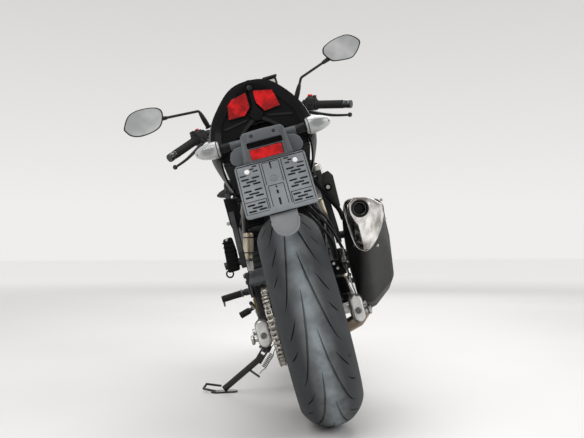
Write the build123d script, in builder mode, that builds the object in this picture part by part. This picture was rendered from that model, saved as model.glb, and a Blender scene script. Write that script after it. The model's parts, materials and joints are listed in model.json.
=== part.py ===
"""A 750 class naked roadster, parked on its side stand.

Everything is modelled upright and straight ahead in the bike frame: millimetres, +X to the
rider's right, +Y forward from the rear axle, +Z up from the ground under it. The last section
turns the steering, leans the whole bike until both tyres and the stand's foot meet the
ground, and writes each piece.
"""

from build123d import *
from math import acos, asin, atan2, cos, degrees, hypot, pi, radians, sin, sqrt, tan
import os

os.makedirs("parts", exist_ok=True)

# Driving dimensions -----------------------------------------------------------------------
WHEELBASE = 1455
RAKE = 25.3
TRAIL = 104
STEER = 6.7  # turned to the left at rest
LEAN = 14.66  # leaned to the left at rest

REAR_RADIUS = 315
REAR_WIDTH = 180
REAR_CROWN = 97
REAR_RIM = 140
FRONT_RADIUS = 300
FRONT_WIDTH = 120
FRONT_CROWN = 62
FRONT_RIM = 89
BEAD_RADIUS = 216
LIP = 15
CROWN_FLATS = 8
TYRE_SIDES = 60

FORK_SPREAD = 206
FORK_TUBE = 27
FORK_LEG = 20.5

CHAIN_LINE = -107
PITCH = 15.875
REAR_TEETH = 43
FRONT_TEETH = 17
COUNTERSHAFT = (600, 378)

PIVOT = (530, 390)
ARM_INNER = 123
ARM_OUTER = 147

FIT = 0.3  # gap round a shaft, a bead or a clamped tube

# Worked out from them ---------------------------------------------------------------------
AXIS_FOOT = WHEELBASE + TRAIL  # where the steering axis meets the ground
REAR_AXLE = (0, 0, REAR_RADIUS)
FRONT_AXLE = (0, WHEELBASE, FRONT_RADIUS)
STEERING = Plane(
    origin=(0, AXIS_FOOT, 0),
    x_dir=(1, 0, 0),
    z_dir=(0, -sin(radians(RAKE)), cos(radians(RAKE))),
)
front_axle_local = STEERING.to_local_coords(Vector(*FRONT_AXLE))
FORK_OFFSET = front_axle_local.Y  # the fork legs stand this far ahead of the steering axis
AXLE_HEIGHT = front_axle_local.Z  # along the steering axis


def crown_points(radius, width, crown):
    """A tread's outline, flats along its crown arc: (x, radius) from the left to the right."""
    reach = asin(width / 2 / crown)
    turns = [reach * (2 * index / CROWN_FLATS - 1) for index in range(CROWN_FLATS + 1)]
    return [(crown * sin(turn), radius - crown + crown * cos(turn)) for turn in turns]


def tyre_drop(axle, axis, tread):
    """Height of the lowest point of a leaned tyre."""
    slant = sqrt(1 - axis.Z**2)
    return axle.Z + min(x * axis.Z - radius * slant for x, radius in tread)


def turned(location, vector):
    """A direction carried along by a location."""
    start = (location * Location((0, 0, 0))).position
    return (location * Location(tuple(vector))).position - start


REAR_TREAD = crown_points(REAR_RADIUS, REAR_WIDTH, REAR_CROWN)
FRONT_TREAD = crown_points(FRONT_RADIUS, FRONT_WIDTH, FRONT_CROWN)
steer_turn = STEERING.location * Location((0, 0, 0), (0, 0, STEER)) * STEERING.location.inverse()
pitch = 0.0
drop = 0.0
for _ in range(6):
    rest = Location((0, 0, drop)) * Location((0, 0, 0), (pitch, 0, 0)) * Location((0, 0, 0), (0, -LEAN, 0))
    rear_low = tyre_drop((rest * Location(REAR_AXLE)).position, turned(rest, (1, 0, 0)), REAR_TREAD)
    steered = rest * steer_turn
    front_low = tyre_drop((steered * Location(FRONT_AXLE)).position, turned(steered, (1, 0, 0)), FRONT_TREAD)
    drop -= rear_low
    pitch -= degrees((front_low - rear_low) / WHEELBASE)
GROUND = Plane(rest.inverse())  # the floor, seen from the bike frame


# Shapes that several pieces use -----------------------------------------------------------
def rod(start, end, radius, mode=Mode.ADD):
    """A round bar from start to end."""
    axis = Vector(*end) - Vector(*start)
    with BuildSketch(Plane(origin=start, z_dir=axis)) as section:
        Circle(radius)
    extrude(section.sketch, amount=axis.length, mode=mode)


def pipe(points, bend, radius, mode=Mode.ADD):
    """A round tube along straight runs joined by arcs of radius bend."""
    with BuildLine() as path:
        FilletPolyline(*points, radius=bend)
    with BuildSketch(Plane(origin=path.line @ 0, z_dir=path.line % 0)) as section:
        Circle(radius)
    sweep(section.sketch, path.line, mode=mode)


def welded_pipe(points, radius, mode=Mode.ADD):
    """A round tube along straight runs with ball corners, for gentle turns and tight elbows."""
    with BuildLine() as path:
        Polyline(*points)
    with BuildSketch(Plane(origin=path.line @ 0, z_dir=path.line % 0)) as section:
        Circle(radius)
    sweep(section.sketch, path.line, transition=Transition.ROUND, mode=mode)


def side_plate(points, near, far, corner=0, mode=Mode.ADD):
    """A plate parallel to the wheels, its outline given as (y, z), from x near to x far."""
    with BuildSketch(Plane.YZ.offset(near)) as section:
        with BuildLine():
            Polyline(*points, close=True)
        make_face()
        if corner:
            fillet(section.vertices(), corner)
    extrude(section.sketch, amount=far - near, mode=mode)


def beam(stations, mode=Mode.ADD):
    """A box section beam through stations of (centre, direction, width, height)."""
    sections = []
    for centre, direction, width, height in stations:
        across = Vector(*direction).cross(Vector(0, 0, 1))
        with BuildSketch(Plane(origin=centre, x_dir=across, z_dir=direction)) as section:
            RectangleRounded(width, height, min(width, height) / 5)
        sections.append(section.sketch)
    loft(sections, ruled=True, mode=mode)


def shell(sections, mode=Mode.ADD):
    """A skin through outlines of (x, z) points, each on its own plane across the bike."""
    faces = []
    for station, points in sections:
        with BuildSketch(Plane(origin=(0, station, 0), x_dir=(1, 0, 0), z_dir=(0, -1, 0))) as section:
            with BuildLine():
                Polyline(*points, close=True)
            make_face()
        faces.append(section.sketch)
    loft(faces, ruled=True, mode=mode)


def both_sides(half):
    """Closes a right hand outline of (x, z), bottom to top, with its mirror image."""
    return list(half) + [(-x, z) for x, z in reversed(half) if x]


def signal_pod(side, root, centre):
    """A teardrop turn signal that points outward from x root."""
    y, z = centre
    sections = []
    for reach, length, height in ((0, 20, 15), (8, 27, 20), (30, 26, 20), (52, 18, 13), (66, 6, 4)):
        with BuildSketch(Plane(origin=(side * (root + reach), y, z), x_dir=(0, 1, 0), z_dir=(side, 0, 0))) as ring:
            RectangleRounded(2 * length, 2 * height, height * 0.9)
        sections.append(ring.sketch)
    loft(sections, ruled=True)


def wheel_plane(axle):
    """The plane of a wheel's profiles: local x across the wheel, local y out from the axle."""
    return Plane(origin=axle, x_dir=(1, 0, 0), z_dir=(0, -1, 0))


def cross_bike(y):
    """The plane across the bike at y; local x to the right, local y up."""
    return Plane(origin=(0, y, 0), x_dir=(1, 0, 0), z_dir=(0, -1, 0))


def wheel_axis(axle):
    return Axis(axle, (1, 0, 0))


def disc_plane(axle, x):
    """The plane parallel to a wheel at x; local x forward, local y up."""
    return Plane(origin=(x, axle[1], axle[2]), x_dir=(0, 1, 0), z_dir=(1, 0, 0))


def tyre(axle, tread, rim_width):
    """Tread and sidewalls down to the beads, in flats across the crown and round the wheel."""
    bead = rim_width / 2 - FIT
    lip = BEAD_RADIUS + LIP + 2
    rings = []
    for x, radius in [(-bead, lip), *tread, (bead, lip)]:
        with BuildSketch(disc_plane(axle, x)) as ring:
            RegularPolygon(radius, TYRE_SIDES)
        rings.append(ring.sketch)
    loft(rings, ruled=True)
    with BuildSketch(disc_plane(axle, -bead)) as hole:
        RegularPolygon((BEAD_RADIUS + FIT) / cos(pi / TYRE_SIDES), TYRE_SIDES)
    extrude(hole.sketch, amount=2 * bead, mode=Mode.SUBTRACT)


def rim(axle, rim_width, hub_half, bore, spokes, web):
    """A cast rim: barrel with two lips, hub, and forked spokes."""
    half = rim_width / 2
    with BuildSketch(wheel_plane(axle)) as barrel:
        with BuildLine():
            right = [
                (half - 22, BEAD_RADIUS - 12),
                (half - 14, BEAD_RADIUS),
                (half, BEAD_RADIUS),
                (half, BEAD_RADIUS + LIP),
                (half + 6, BEAD_RADIUS + LIP),
                (half + 6, BEAD_RADIUS + 6),
                (half - 6, BEAD_RADIUS - 10),
                (half - 16, BEAD_RADIUS - 20),
            ]
            left = [(-x, r) for x, r in reversed(right)]
            Polyline(*right, *left, close=True)
        make_face()
    revolve(barrel.sketch, axis=wheel_axis(axle))
    with BuildSketch(disc_plane(axle, -hub_half)) as hub:
        Circle(30)
    extrude(hub.sketch, amount=2 * hub_half)
    for index in range(spokes):
        turn = radians(90 + 360 / spokes * index)
        along = (0, cos(turn), sin(turn))
        with BuildSketch(Plane(origin=(-web / 2, axle[1], axle[2]), x_dir=along, z_dir=(1, 0, 0))) as spoke:
            with BuildLine():
                Polyline((20, -20), (198, -36), (198, -20), (90, -7), (90, 7), (198, 20), (198, 36), (20, 20), close=True)
            make_face()
        extrude(spoke.sketch, amount=web)
    with BuildSketch(disc_plane(axle, -hub_half)) as hole:
        Circle(bore)
    extrude(hole.sketch, amount=2 * hub_half, mode=Mode.SUBTRACT)


def brake_disc(axle, near, far, radius, band, bore):
    """A flat disc whose band is carried by six arms."""
    window = (radius - band - bore - 12) / 2
    with BuildSketch(disc_plane(axle, near)) as section:
        Circle(radius)
        Circle(bore, mode=Mode.SUBTRACT)
        with PolarLocations((radius - band + bore) / 2, 6):
            Trapezoid(2 * window * 0.9, 2 * window, 70, rotation=-90, mode=Mode.SUBTRACT)
    extrude(section.sketch, amount=far - near)


# Rear wheel -------------------------------------------------------------------------------
HUB_HALF = 60
REAR_AXLE_RADIUS = 10
with BuildPart() as rear_tyre:
    tyre(REAR_AXLE, REAR_TREAD, REAR_RIM)
rear_tyre.part.label = "rear_tyre"

with BuildPart() as rear_rim:
    rim(REAR_AXLE, REAR_RIM, HUB_HALF, REAR_AXLE_RADIUS + FIT, 5, 26)
    rod((-96, 0, REAR_RADIUS), (-HUB_HALF, 0, REAR_RADIUS), 44)
    rod((-96, 0, REAR_RADIUS), (-HUB_HALF, 0, REAR_RADIUS), REAR_AXLE_RADIUS + FIT, Mode.SUBTRACT)
rear_rim.part.label = "rear_rim"

with BuildPart() as rear_disc:
    brake_disc(REAR_AXLE, HUB_HALF, HUB_HALF + 5, 120, 32, 26)
rear_disc.part.label = "rear_disc"


def sprocket_radius(teeth):
    """Pitch radius of a chain wheel."""
    return PITCH / 2 / sin(pi / teeth)


TOOTH_TIP = sprocket_radius(REAR_TEETH) - 6.1
TOOTH_ROOT = TOOTH_TIP - 6
with BuildPart() as rear_sprocket:
    tooth = 2 * pi / REAR_TEETH
    rim_points = [
        (radius * cos(tooth * (index + share)), radius * sin(tooth * (index + share)))
        for index in range(REAR_TEETH)
        for share, radius in ((0, TOOTH_TIP), (0.22, TOOTH_TIP), (0.42, TOOTH_ROOT), (0.8, TOOTH_ROOT))
    ]
    with BuildSketch(disc_plane(REAR_AXLE, CHAIN_LINE - 3)) as outline:
        with BuildLine():
            Polyline(*rim_points, close=True)
        make_face()
        Circle(30, mode=Mode.SUBTRACT)
        with PolarLocations(74, 5):
            Trapezoid(44, 26, 70, rotation=-90, mode=Mode.SUBTRACT)
    extrude(outline.sketch, amount=6)
    with BuildSketch(disc_plane(REAR_AXLE, CHAIN_LINE + 3)) as spacer:
        Circle(52)
        Circle(30, mode=Mode.SUBTRACT)
    extrude(spacer.sketch, amount=-96 - CHAIN_LINE - 3)
rear_sprocket.part.label = "rear_sprocket"

# Front wheel ------------------------------------------------------------------------------
FRONT_HUB_HALF = 58
FRONT_AXLE_RADIUS = 12.5
with BuildPart() as front_tyre:
    tyre(FRONT_AXLE, FRONT_TREAD, FRONT_RIM)
front_tyre.part.label = "front_tyre"

with BuildPart() as front_rim:
    rim(FRONT_AXLE, FRONT_RIM, FRONT_HUB_HALF, FRONT_AXLE_RADIUS + FIT, 5, 22)
front_rim.part.label = "front_rim"

DISC_IN = 58
DISC_OUT = 63
with BuildPart() as front_discs:
    brake_disc(FRONT_AXLE, DISC_IN, DISC_OUT, 155, 34, 22)
    mirror(about=Plane.YZ)
front_discs.part.label = "front_discs"

# Fork and steering ------------------------------------------------------------------------
HALF_SPREAD = FORK_SPREAD / 2
LOWER_CLAMP = (806, 838)
UPPER_CLAMP = (966, 990)
HEAD_TUBE = (841, 963)
STEM_RADIUS = 14


def steering_point(x, v, w):
    """Bike frame point at x, v ahead of the steering axis and w along it."""
    return tuple(STEERING.from_local_coords(Vector(x, v, w)))


with BuildPart() as triple_clamps:
    for low, high in (LOWER_CLAMP, UPPER_CLAMP):
        with BuildSketch(STEERING.offset(low)) as outline:
            with Locations((-HALF_SPREAD, FORK_OFFSET), (HALF_SPREAD, FORK_OFFSET)):
                Circle(FORK_TUBE + 10)
            Circle(34)
            make_hull()
            with Locations((-HALF_SPREAD, FORK_OFFSET), (HALF_SPREAD, FORK_OFFSET)):
                Circle(FORK_TUBE + FIT, mode=Mode.SUBTRACT)
            with Locations((-50, 22), (50, 22)):
                Circle(15, mode=Mode.SUBTRACT)
        extrude(outline.sketch, amount=high - low)
    with BuildSketch(STEERING.offset(LOWER_CLAMP[0])) as stem:
        Circle(STEM_RADIUS)
    extrude(stem.sketch, amount=UPPER_CLAMP[1] + 8 - LOWER_CLAMP[0])
triple_clamps.part.label = "triple_clamps"

TUBE_BOTTOM = 640
with BuildPart() as fork_tubes:
    with BuildSketch(STEERING.offset(TUBE_BOTTOM)) as outline:
        with Locations((-HALF_SPREAD, FORK_OFFSET), (HALF_SPREAD, FORK_OFFSET)):
            Circle(FORK_TUBE)
    extrude(outline.sketch, amount=UPPER_CLAMP[1] + 10 - TUBE_BOTTOM)
fork_tubes.part.label = "fork_tubes"

FOOT_TOP = AXLE_HEIGHT + 50
with BuildPart() as fork_stanchions:
    with BuildSketch(STEERING.offset(FOOT_TOP)) as outline:
        with Locations((-HALF_SPREAD, FORK_OFFSET), (HALF_SPREAD, FORK_OFFSET)):
            Circle(FORK_LEG)
    extrude(outline.sketch, amount=TUBE_BOTTOM - FOOT_TOP)
fork_stanchions.part.label = "fork_stanchions"

with BuildPart() as fork_feet:
    for side in (-1, 1):
        with BuildSketch(STEERING.offset(AXLE_HEIGHT - 26)) as outline:
            with Locations((side * HALF_SPREAD, FORK_OFFSET)):
                RectangleRounded(36, 48, 12)
        extrude(outline.sketch, amount=76)
        lug = [(-96, 20), (-20, 20), (-20, 44), (-60, 120), (-84, 120)]
        plane = Plane(
            origin=steering_point(side * (HALF_SPREAD - 10) - 5, FORK_OFFSET, AXLE_HEIGHT),
            x_dir=STEERING.y_dir,
            z_dir=(1, 0, 0),
        )
        with BuildSketch(plane) as ear:
            with BuildLine():
                Polyline(*lug, close=True)
            make_face()
        extrude(ear.sketch, amount=10)
    rod((-130, WHEELBASE, FRONT_RADIUS), (130, WHEELBASE, FRONT_RADIUS), FRONT_AXLE_RADIUS + FIT, Mode.SUBTRACT)
fork_feet.part.label = "fork_feet"

AXLE_BORE = 8.5
with BuildPart() as front_axle:
    rod((-128, WHEELBASE, FRONT_RADIUS), (128, WHEELBASE, FRONT_RADIUS), FRONT_AXLE_RADIUS)
    rod((122, WHEELBASE, FRONT_RADIUS), (134, WHEELBASE, FRONT_RADIUS), 18)
    for side in (-1, 1):
        rod((side * (FRONT_HUB_HALF + 1), WHEELBASE, FRONT_RADIUS), (side * 84, WHEELBASE, FRONT_RADIUS), 18)
    rod((-130, WHEELBASE, FRONT_RADIUS), (136, WHEELBASE, FRONT_RADIUS), AXLE_BORE, Mode.SUBTRACT)
front_axle.part.label = "front_axle"

with BuildPart() as front_calipers:
    for side in (-1, 1):
        plane = Plane(
            origin=(side * 60.5 - 22, WHEELBASE, FRONT_RADIUS), x_dir=STEERING.y_dir, z_dir=(1, 0, 0)
        )
        with BuildSketch(plane) as outline:
            with BuildLine():
                Polyline((-148, 34), (-100, 34), (-92, 64), (-100, 108), (-122, 116), (-148, 100), close=True)
            make_face()
        extrude(outline.sketch, amount=44)
        rod((side * 60.5 - 5.5, WHEELBASE, FRONT_RADIUS), (side * 60.5 + 5.5, WHEELBASE, FRONT_RADIUS), 160, Mode.SUBTRACT)
front_calipers.part.label = "front_calipers"

MUDGUARD_RADIUS = FRONT_RADIUS + 12
with BuildPart() as front_mudguard:
    crown = [(-68, -44), (-50, -14), (-22, 1), (22, 1), (50, -14), (68, -44)]
    lining = [(-65, -45), (-48, -17), (-21, -2), (21, -2), (48, -17), (65, -45)]
    section_points = [(x, MUDGUARD_RADIUS + rise) for x, rise in crown + lining[::-1]]
    with BuildSketch(wheel_plane(FRONT_AXLE)) as section:
        with BuildLine():
            Polyline(*section_points, close=True)
        make_face()
    revolve(section.sketch, axis=wheel_axis(FRONT_AXLE), revolution_arc=95)
    for side in (-1, 1):
        side_plate([(1330, 560), (1430, 590), (1400, 480), (1370, 470)], side * 66 - 1.5, side * 66 + 1.5)
front_mudguard.part.label = "front_mudguard"

# Handlebar and what it carries ------------------------------------------------------------
BAR_RADIUS = 11.1
GRIP_RADIUS = 17
BAR_END = (388, 915, 1011)
GRIP_INNER = (264, 1000, 1063)
BAR_BEND = (190, 1051, 1094)
BAR_CENTRE = (70, 1118, 968)
BAR_AHEAD = STEERING.to_local_coords(Vector(*BAR_CENTRE)).Y
BAR_UP = STEERING.to_local_coords(Vector(*BAR_CENTRE)).Z


def along_grip(side, distance):
    """Point on the grip's axis, at a distance outward from the grip's inner end."""
    start = Vector(*GRIP_INNER)
    step = (Vector(*BAR_END) - start).normalized()
    point = start + step * distance
    return (side * point.X, point.Y, point.Z)


def opposite(point):
    return (-point[0], point[1], point[2])


GRIP_LENGTH = (Vector(*BAR_END) - Vector(*GRIP_INNER)).length
with BuildPart() as handlebar:
    pipe(
        [
            along_grip(-1, GRIP_LENGTH - 30),
            opposite(BAR_BEND),
            opposite(BAR_CENTRE),
            BAR_CENTRE,
            BAR_BEND,
            along_grip(1, GRIP_LENGTH - 30),
        ],
        45,
        BAR_RADIUS,
    )
    for side in (-1, 1):
        with BuildSketch(STEERING.offset(UPPER_CLAMP[1])) as riser:
            with Locations((side * 34, BAR_AHEAD)):
                Circle(16)
        extrude(riser.sketch, amount=BAR_UP - UPPER_CLAMP[1])
        with BuildSketch(Plane(origin=(side * 34 - 15, BAR_CENTRE[1], BAR_CENTRE[2]), x_dir=(0, 1, 0), z_dir=(1, 0, 0))) as clamp:
            Rectangle(50, 38)
        extrude(clamp.sketch, amount=30)
        rod(along_grip(side, GRIP_LENGTH - 36), along_grip(side, GRIP_LENGTH), 16)
handlebar.part.label = "handlebar"

with BuildPart() as grips:
    for side in (-1, 1):
        rod(along_grip(side, 0), along_grip(side, GRIP_LENGTH - 37), GRIP_RADIUS)
        rod(along_grip(side, 0), along_grip(side, 5), GRIP_RADIUS + 5)
        rod(along_grip(side, -2), along_grip(side, GRIP_LENGTH - 30), BAR_RADIUS + FIT, Mode.SUBTRACT)
grips.part.label = "grips"

with BuildPart() as switchgear:
    for side in (-1, 1):
        rod(along_grip(side, -44), along_grip(side, -2), 23)
        rod(along_grip(side, -66), along_grip(side, -48), 17)
        rod(along_grip(side, -90), along_grip(side, 0), BAR_RADIUS + FIT, Mode.SUBTRACT)
    rod((112, 1066, 1192), (108, 1060, 1226), 21)
    rod((108, 1060, 1226), (107, 1058.5, 1238), 25)
    welded_pipe([(116, 1068, 1196), (140, 1076, 1170), (176, 1072, 1120), (190, 1062, 1112)], 5)
switchgear.part.label = "switchgear"

LEVER_PIVOT = Vector(214, 1078, 1074)
with BuildPart() as levers:
    for side in (-1, 1):
        points = [(226, 1076, 1066), (262, 1052, 1040), (330, 985, 1000), (372, 950, 985)]
        points = [(side * x, y, z) for x, y, z in points]
        pipe(points, 40, 6)
        rod((side * 368, 953, 986), (side * 381, 944, 982), 10)
levers.part.label = "levers"

MIRRORS = {-1: ((-442, 996, 1198), (-213, 1003, 1177)), 1: ((438, 974, 1258), (238, 1003, 1191))}
with BuildPart() as mirrors:
    for side, (centre, elbow) in MIRRORS.items():
        base = (side * 194, 1040, 1112)
        root = (centre[0] - side * 66, centre[1] + 16, centre[2] - 6)
        pipe([base, elbow, root], 20, 6)
        rod(base, (base[0] + (elbow[0] - base[0]) * 0.6, base[1] - 18, base[2] + (elbow[2] - base[2]) * 0.6), 10)
        plane = Plane(origin=(centre[0], centre[1] + 24, centre[2]), x_dir=(1, 0, 0), z_dir=(0, -1, 0.06))
        with BuildSketch(plane) as back:
            Ellipse(70, 36)
        with BuildSketch(plane.offset(18)) as face:
            Ellipse(86, 50)
        loft([back.sketch, face.sketch])
mirrors.part.label = "mirrors"

with BuildPart() as mirror_glasses:
    for side, (centre, elbow) in MIRRORS.items():
        plane = Plane(origin=(centre[0], centre[1] + 24, centre[2]), x_dir=(1, 0, 0), z_dir=(0, -1, 0.06))
        with BuildSketch(plane.offset(18)) as face:
            Ellipse(81, 45)
        extrude(face.sketch, amount=2)
mirror_glasses.part.label = "mirror_glasses"

# Front lamp and instrument ----------------------------------------------------------------
LAMP_BACK = 84
LAMP_FRONT = 176
LAMP_HEIGHT = 905


def lamp_plane(v, w, tilt=0):
    """A plane that faces forward, v ahead of the steering axis and w along it."""
    facing = STEERING.y_dir.rotate(Axis.X, -tilt)
    return Plane(origin=steering_point(0, v, w), x_dir=(-1, 0, 0), z_dir=facing)


with BuildPart() as headlight:
    with BuildSketch(lamp_plane(LAMP_BACK, LAMP_HEIGHT)) as back:
        RectangleRounded(132, 116, 30)
    with BuildSketch(lamp_plane(LAMP_FRONT, LAMP_HEIGHT - 30, 28)) as front:
        RectangleRounded(190, 160, 36)
    loft([back.sketch, front.sketch], ruled=True)
    for side in (-1, 1):
        stay = Plane(origin=steering_point(side * 73 - 2.5, 0, 0), x_dir=STEERING.y_dir, z_dir=(1, 0, 0))
        with BuildSketch(stay) as outline:
            with Locations(((LAMP_BACK + 46) / 2 + 8, LAMP_HEIGHT)):
                Rectangle(LAMP_BACK - 10, 44)
        extrude(outline.sketch, amount=5)
headlight.part.label = "headlight"

with BuildPart() as headlight_lens:
    with BuildSketch(lamp_plane(LAMP_FRONT, LAMP_HEIGHT - 30, 28)) as front:
        RectangleRounded(178, 148, 34)
    with BuildSketch(lamp_plane(LAMP_FRONT, LAMP_HEIGHT - 30, 28).offset(24)) as nose:
        RectangleRounded(140, 112, 30)
    loft([front.sketch, nose.sketch], ruled=True)
headlight_lens.part.label = "headlight_lens"

with BuildPart() as instrument:
    with BuildSketch(Plane(origin=(0, 1200, 985), x_dir=(1, 0, 0), z_dir=(0, -0.72, 0.69))) as dial:
        RectangleRounded(150, 86, 18)
    extrude(dial.sketch, amount=-34, taper=12)
instrument.part.label = "instrument"

with BuildPart() as front_signals:
    for side in (-1, 1):
        rod((side * 131, 1202, 835), (side * 172, 1206, 835), 9)
        signal_pod(side, 172, (1206, 835))
front_signals.part.label = "front_signals"

# Frame ------------------------------------------------------------------------------------
PEG_PLATE = (146, 162)  # inner and outer face of the passenger footrest plates
STAND_PIVOT = (-170, 508, 206)
STAND_AXIS = (-sqrt(0.5), 0, sqrt(0.5))
STAND_PLANE = Plane(origin=STAND_PIVOT, x_dir=(0, 1, 0), z_dir=STAND_AXIS)  # local y runs down the leg
STAND_BOLT = 8
STAND_LUG = 6
with BuildPart() as frame:
    with BuildSketch(STEERING.offset(HEAD_TUBE[0])) as outline:
        Circle(31)
        Circle(STEM_RADIUS + 1, mode=Mode.SUBTRACT)
    extrude(outline.sketch, amount=HEAD_TUBE[1] - HEAD_TUBE[0])
    for side in (-1, 1):
        beam(
            [
                ((side * 26, 1150, 812), (side * 0.3, -1, -0.1), 26, 92),
                ((side * 104, 1030, 782), (side * 0.5, -1, -0.25), 34, 84),
                ((side * 153, 880, 742), (side * 0.1, -1, -0.3), 32, 72),
                ((side * 160, 700, 662), (0, -1, -0.6), 28, 70),
                ((side * 156, 575, 540), (0, -0.8, -1), 24, 70),
                ((side * 154, 540, 440), (0, -0.2, -1), 14, 80),
            ]
        )
        side_plate(
            [(495, 460), (585, 460), (590, 380), (566, 270), (500, 270), (485, 380)],
            side * 154 - 6,
            side * 154 + 6,
        )
        welded_pipe(
            [(side * 150, 650, 650), (side * 118, 560, 706), (side * 104, 460, 742), (side * 74, 60, 816), (side * 60, -150, 862)],
            13,
        )
        welded_pipe([(side * 150, 575, 560), (side * 122, 440, 668), (side * 106, 360, 712), (side * 81, 150, 799.5)], 11)
        rod((side * 100, 312, 722), (side * PEG_PLATE[0], 312, 722), 11)
    rod((-160, 640, 622), (160, 640, 622), 15)
    rod((-150, 545, 286), (150, 545, 286), 13)
    rod((-75, 72, 814), (75, 72, 814), 10)
    rod((-61, -130, 858), (61, -130, 858), 10)
    side_plate([(488, 222), (530, 222), (566, 300), (566, 330), (490, 330)], -160, -148)
    with BuildSketch(STAND_PLANE.offset(-STAND_LUG)) as lug:
        Circle(17)
        with Locations((0, -34)):
            Circle(17)
        make_hull()
        Circle(STAND_BOLT, mode=Mode.SUBTRACT)
    extrude(lug.sketch, amount=2 * STAND_LUG)
frame.part.label = "frame"

# Swingarm and rear axle -------------------------------------------------------------------
ARM_TAIL = -46
with BuildPart() as swingarm:
    for side in (-1, 1):
        inner, outer = side * ARM_INNER, side * ARM_OUTER
        side_plate(
            [
                (PIVOT[0] + 26, PIVOT[1] - 26),
                (PIVOT[0] + 26, PIVOT[1] + 26),
                (PIVOT[0] - 30, PIVOT[1] + 34),
                (260, 388),
                (40, 348),
                (ARM_TAIL, 346),
                (ARM_TAIL, 284),
                (60, 282),
                (260, 318),
                (PIVOT[0] - 40, PIVOT[1] - 34),
            ],
            min(inner, outer),
            max(inner, outer),
            corner=8,
        )
    rod((-ARM_INNER, PIVOT[0], PIVOT[1]), (ARM_INNER, PIVOT[0], PIVOT[1]), 24)
    side_plate([(362, 366), (452, 362), (452, 404), (362, 396)], -ARM_INNER, ARM_INNER)
    rod((-150, 0, REAR_RADIUS), (150, 0, REAR_RADIUS), REAR_AXLE_RADIUS + FIT, Mode.SUBTRACT)
swingarm.part.label = "swingarm"

SPOOL = (-22, 296)
with BuildPart() as swingarm_fittings:
    for side in (-1, 1):
        with BuildSketch(Plane(origin=(side * 138, ARM_TAIL, 310), x_dir=(1, 0, 0), z_dir=(0, -1, 0))) as cap:
            SlotOverall(78, 36, rotation=90)
        extrude(cap.sketch, amount=16)
        rod((side * ARM_OUTER, SPOOL[0], SPOOL[1]), (side * 178, SPOOL[0], SPOOL[1]), 8)
        rod((side * 170, SPOOL[0], SPOOL[1]), (side * 178, SPOOL[0], SPOOL[1]), 14)
swingarm_fittings.part.label = "swingarm_fittings"

with BuildPart() as rear_axle:
    rod((-168, 0, REAR_RADIUS), (168, 0, REAR_RADIUS), REAR_AXLE_RADIUS)
    for side in (-1, 1):
        with BuildSketch(disc_plane(REAR_AXLE, side * ARM_OUTER)) as nut:
            RegularPolygon(18, 6)
        extrude(nut.sketch, amount=side * 14)
    rod((-98, 0, REAR_RADIUS), (-ARM_INNER, 0, REAR_RADIUS), 17)
    rod((HUB_HALF + 1, 0, REAR_RADIUS), (ARM_INNER, 0, REAR_RADIUS), 17)
rear_axle.part.label = "rear_axle"

# Engine -----------------------------------------------------------------------------------
BLOCK_TILT = 20
HEAD_WIDTH = 340
HEAD_LENGTH = 184
HEAD_BASE = 122
HEAD_TOP = 212
CYLINDERS = Plane(
    origin=(0, 850, 430), x_dir=(1, 0, 0), z_dir=(0, sin(radians(BLOCK_TILT)), cos(radians(BLOCK_TILT)))
)
with BuildPart() as engine_block:
    side_plate(
        [(575, 300), (600, 440), (700, 470), (960, 450), (985, 330), (930, 235), (640, 225)],
        -138,
        138,
        corner=14,
    )
    side_plate([(690, 228), (910, 238), (890, 215), (710, 215)], -90, 90)
    rod((0, 940, 299), (0, 996, 284), 32)
    with BuildSketch(CYLINDERS) as barrels:
        RectangleRounded(320, 150, 14)
    extrude(barrels.sketch, amount=HEAD_BASE)
    with BuildSketch(CYLINDERS.offset(HEAD_BASE)) as head:
        RectangleRounded(HEAD_WIDTH, HEAD_LENGTH, 14)
    extrude(head.sketch, amount=HEAD_TOP - HEAD_BASE)
    with BuildSketch(CYLINDERS.offset(HEAD_TOP)) as cam_cover:
        RectangleRounded(312, 156, 14)
    extrude(cam_cover.sketch, amount=34, taper=12)
    with BuildSketch(CYLINDERS.offset(HEAD_TOP + 22)) as plug_valley:
        Rectangle(HEAD_WIDTH, 40)
    extrude(plug_valley.sketch, amount=20, mode=Mode.SUBTRACT)
    for rise in (24, 48, 72, 96):
        with BuildSketch(CYLINDERS.offset(rise)) as fin_gap:
            Rectangle(HEAD_WIDTH, HEAD_LENGTH)
            Rectangle(308, 138, mode=Mode.SUBTRACT)
        extrude(fin_gap.sketch, amount=8, mode=Mode.SUBTRACT)
    side_plate([(540, 310), (600, 310), (664, 350), (664, 400), (600, 446), (540, 446)], -140, -88, mode=Mode.SUBTRACT)
engine_block.part.label = "engine_block"

with BuildPart() as engine_covers:
    for side, centre, radius, reach in ((-1, (880, 335), 62, 40), (1, (800, 335), 80, 38)):
        cover_plane = Plane(origin=(side * 138, *centre), x_dir=(0, 1, 0), z_dir=(side, 0, 0))
        with BuildSketch(cover_plane) as cover:
            Circle(radius)
        extrude(cover.sketch, amount=reach, taper=10)
        with BuildSketch(cover_plane.offset(reach)) as boss:
            Circle(radius * 0.55)
        extrude(boss.sketch, amount=10, taper=14)
        with BuildSketch(cover_plane) as flange:
            with PolarLocations(radius + 2, 6):
                Circle(9)
        extrude(flange.sketch, amount=12)
        with BuildSketch(Plane(CYLINDERS.location * Location((side * HEAD_WIDTH / 2, 0, 0), (0, side * 90, 0)))) as end_cover:
            with Locations((-side * (HEAD_BASE + 42), 0)):
                RectangleRounded(58, 128, 12)
        extrude(end_cover.sketch, amount=10, taper=20)
    side_plate([(596, 320), (650, 300), (760, 320), (760, 420), (660, 440), (596, 420)], -172, -138.3, corner=16)
    side_plate([(590, 334), (654, 354), (654, 398), (590, 420)], -140, -122)
engine_covers.part.label = "engine_covers"

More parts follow.
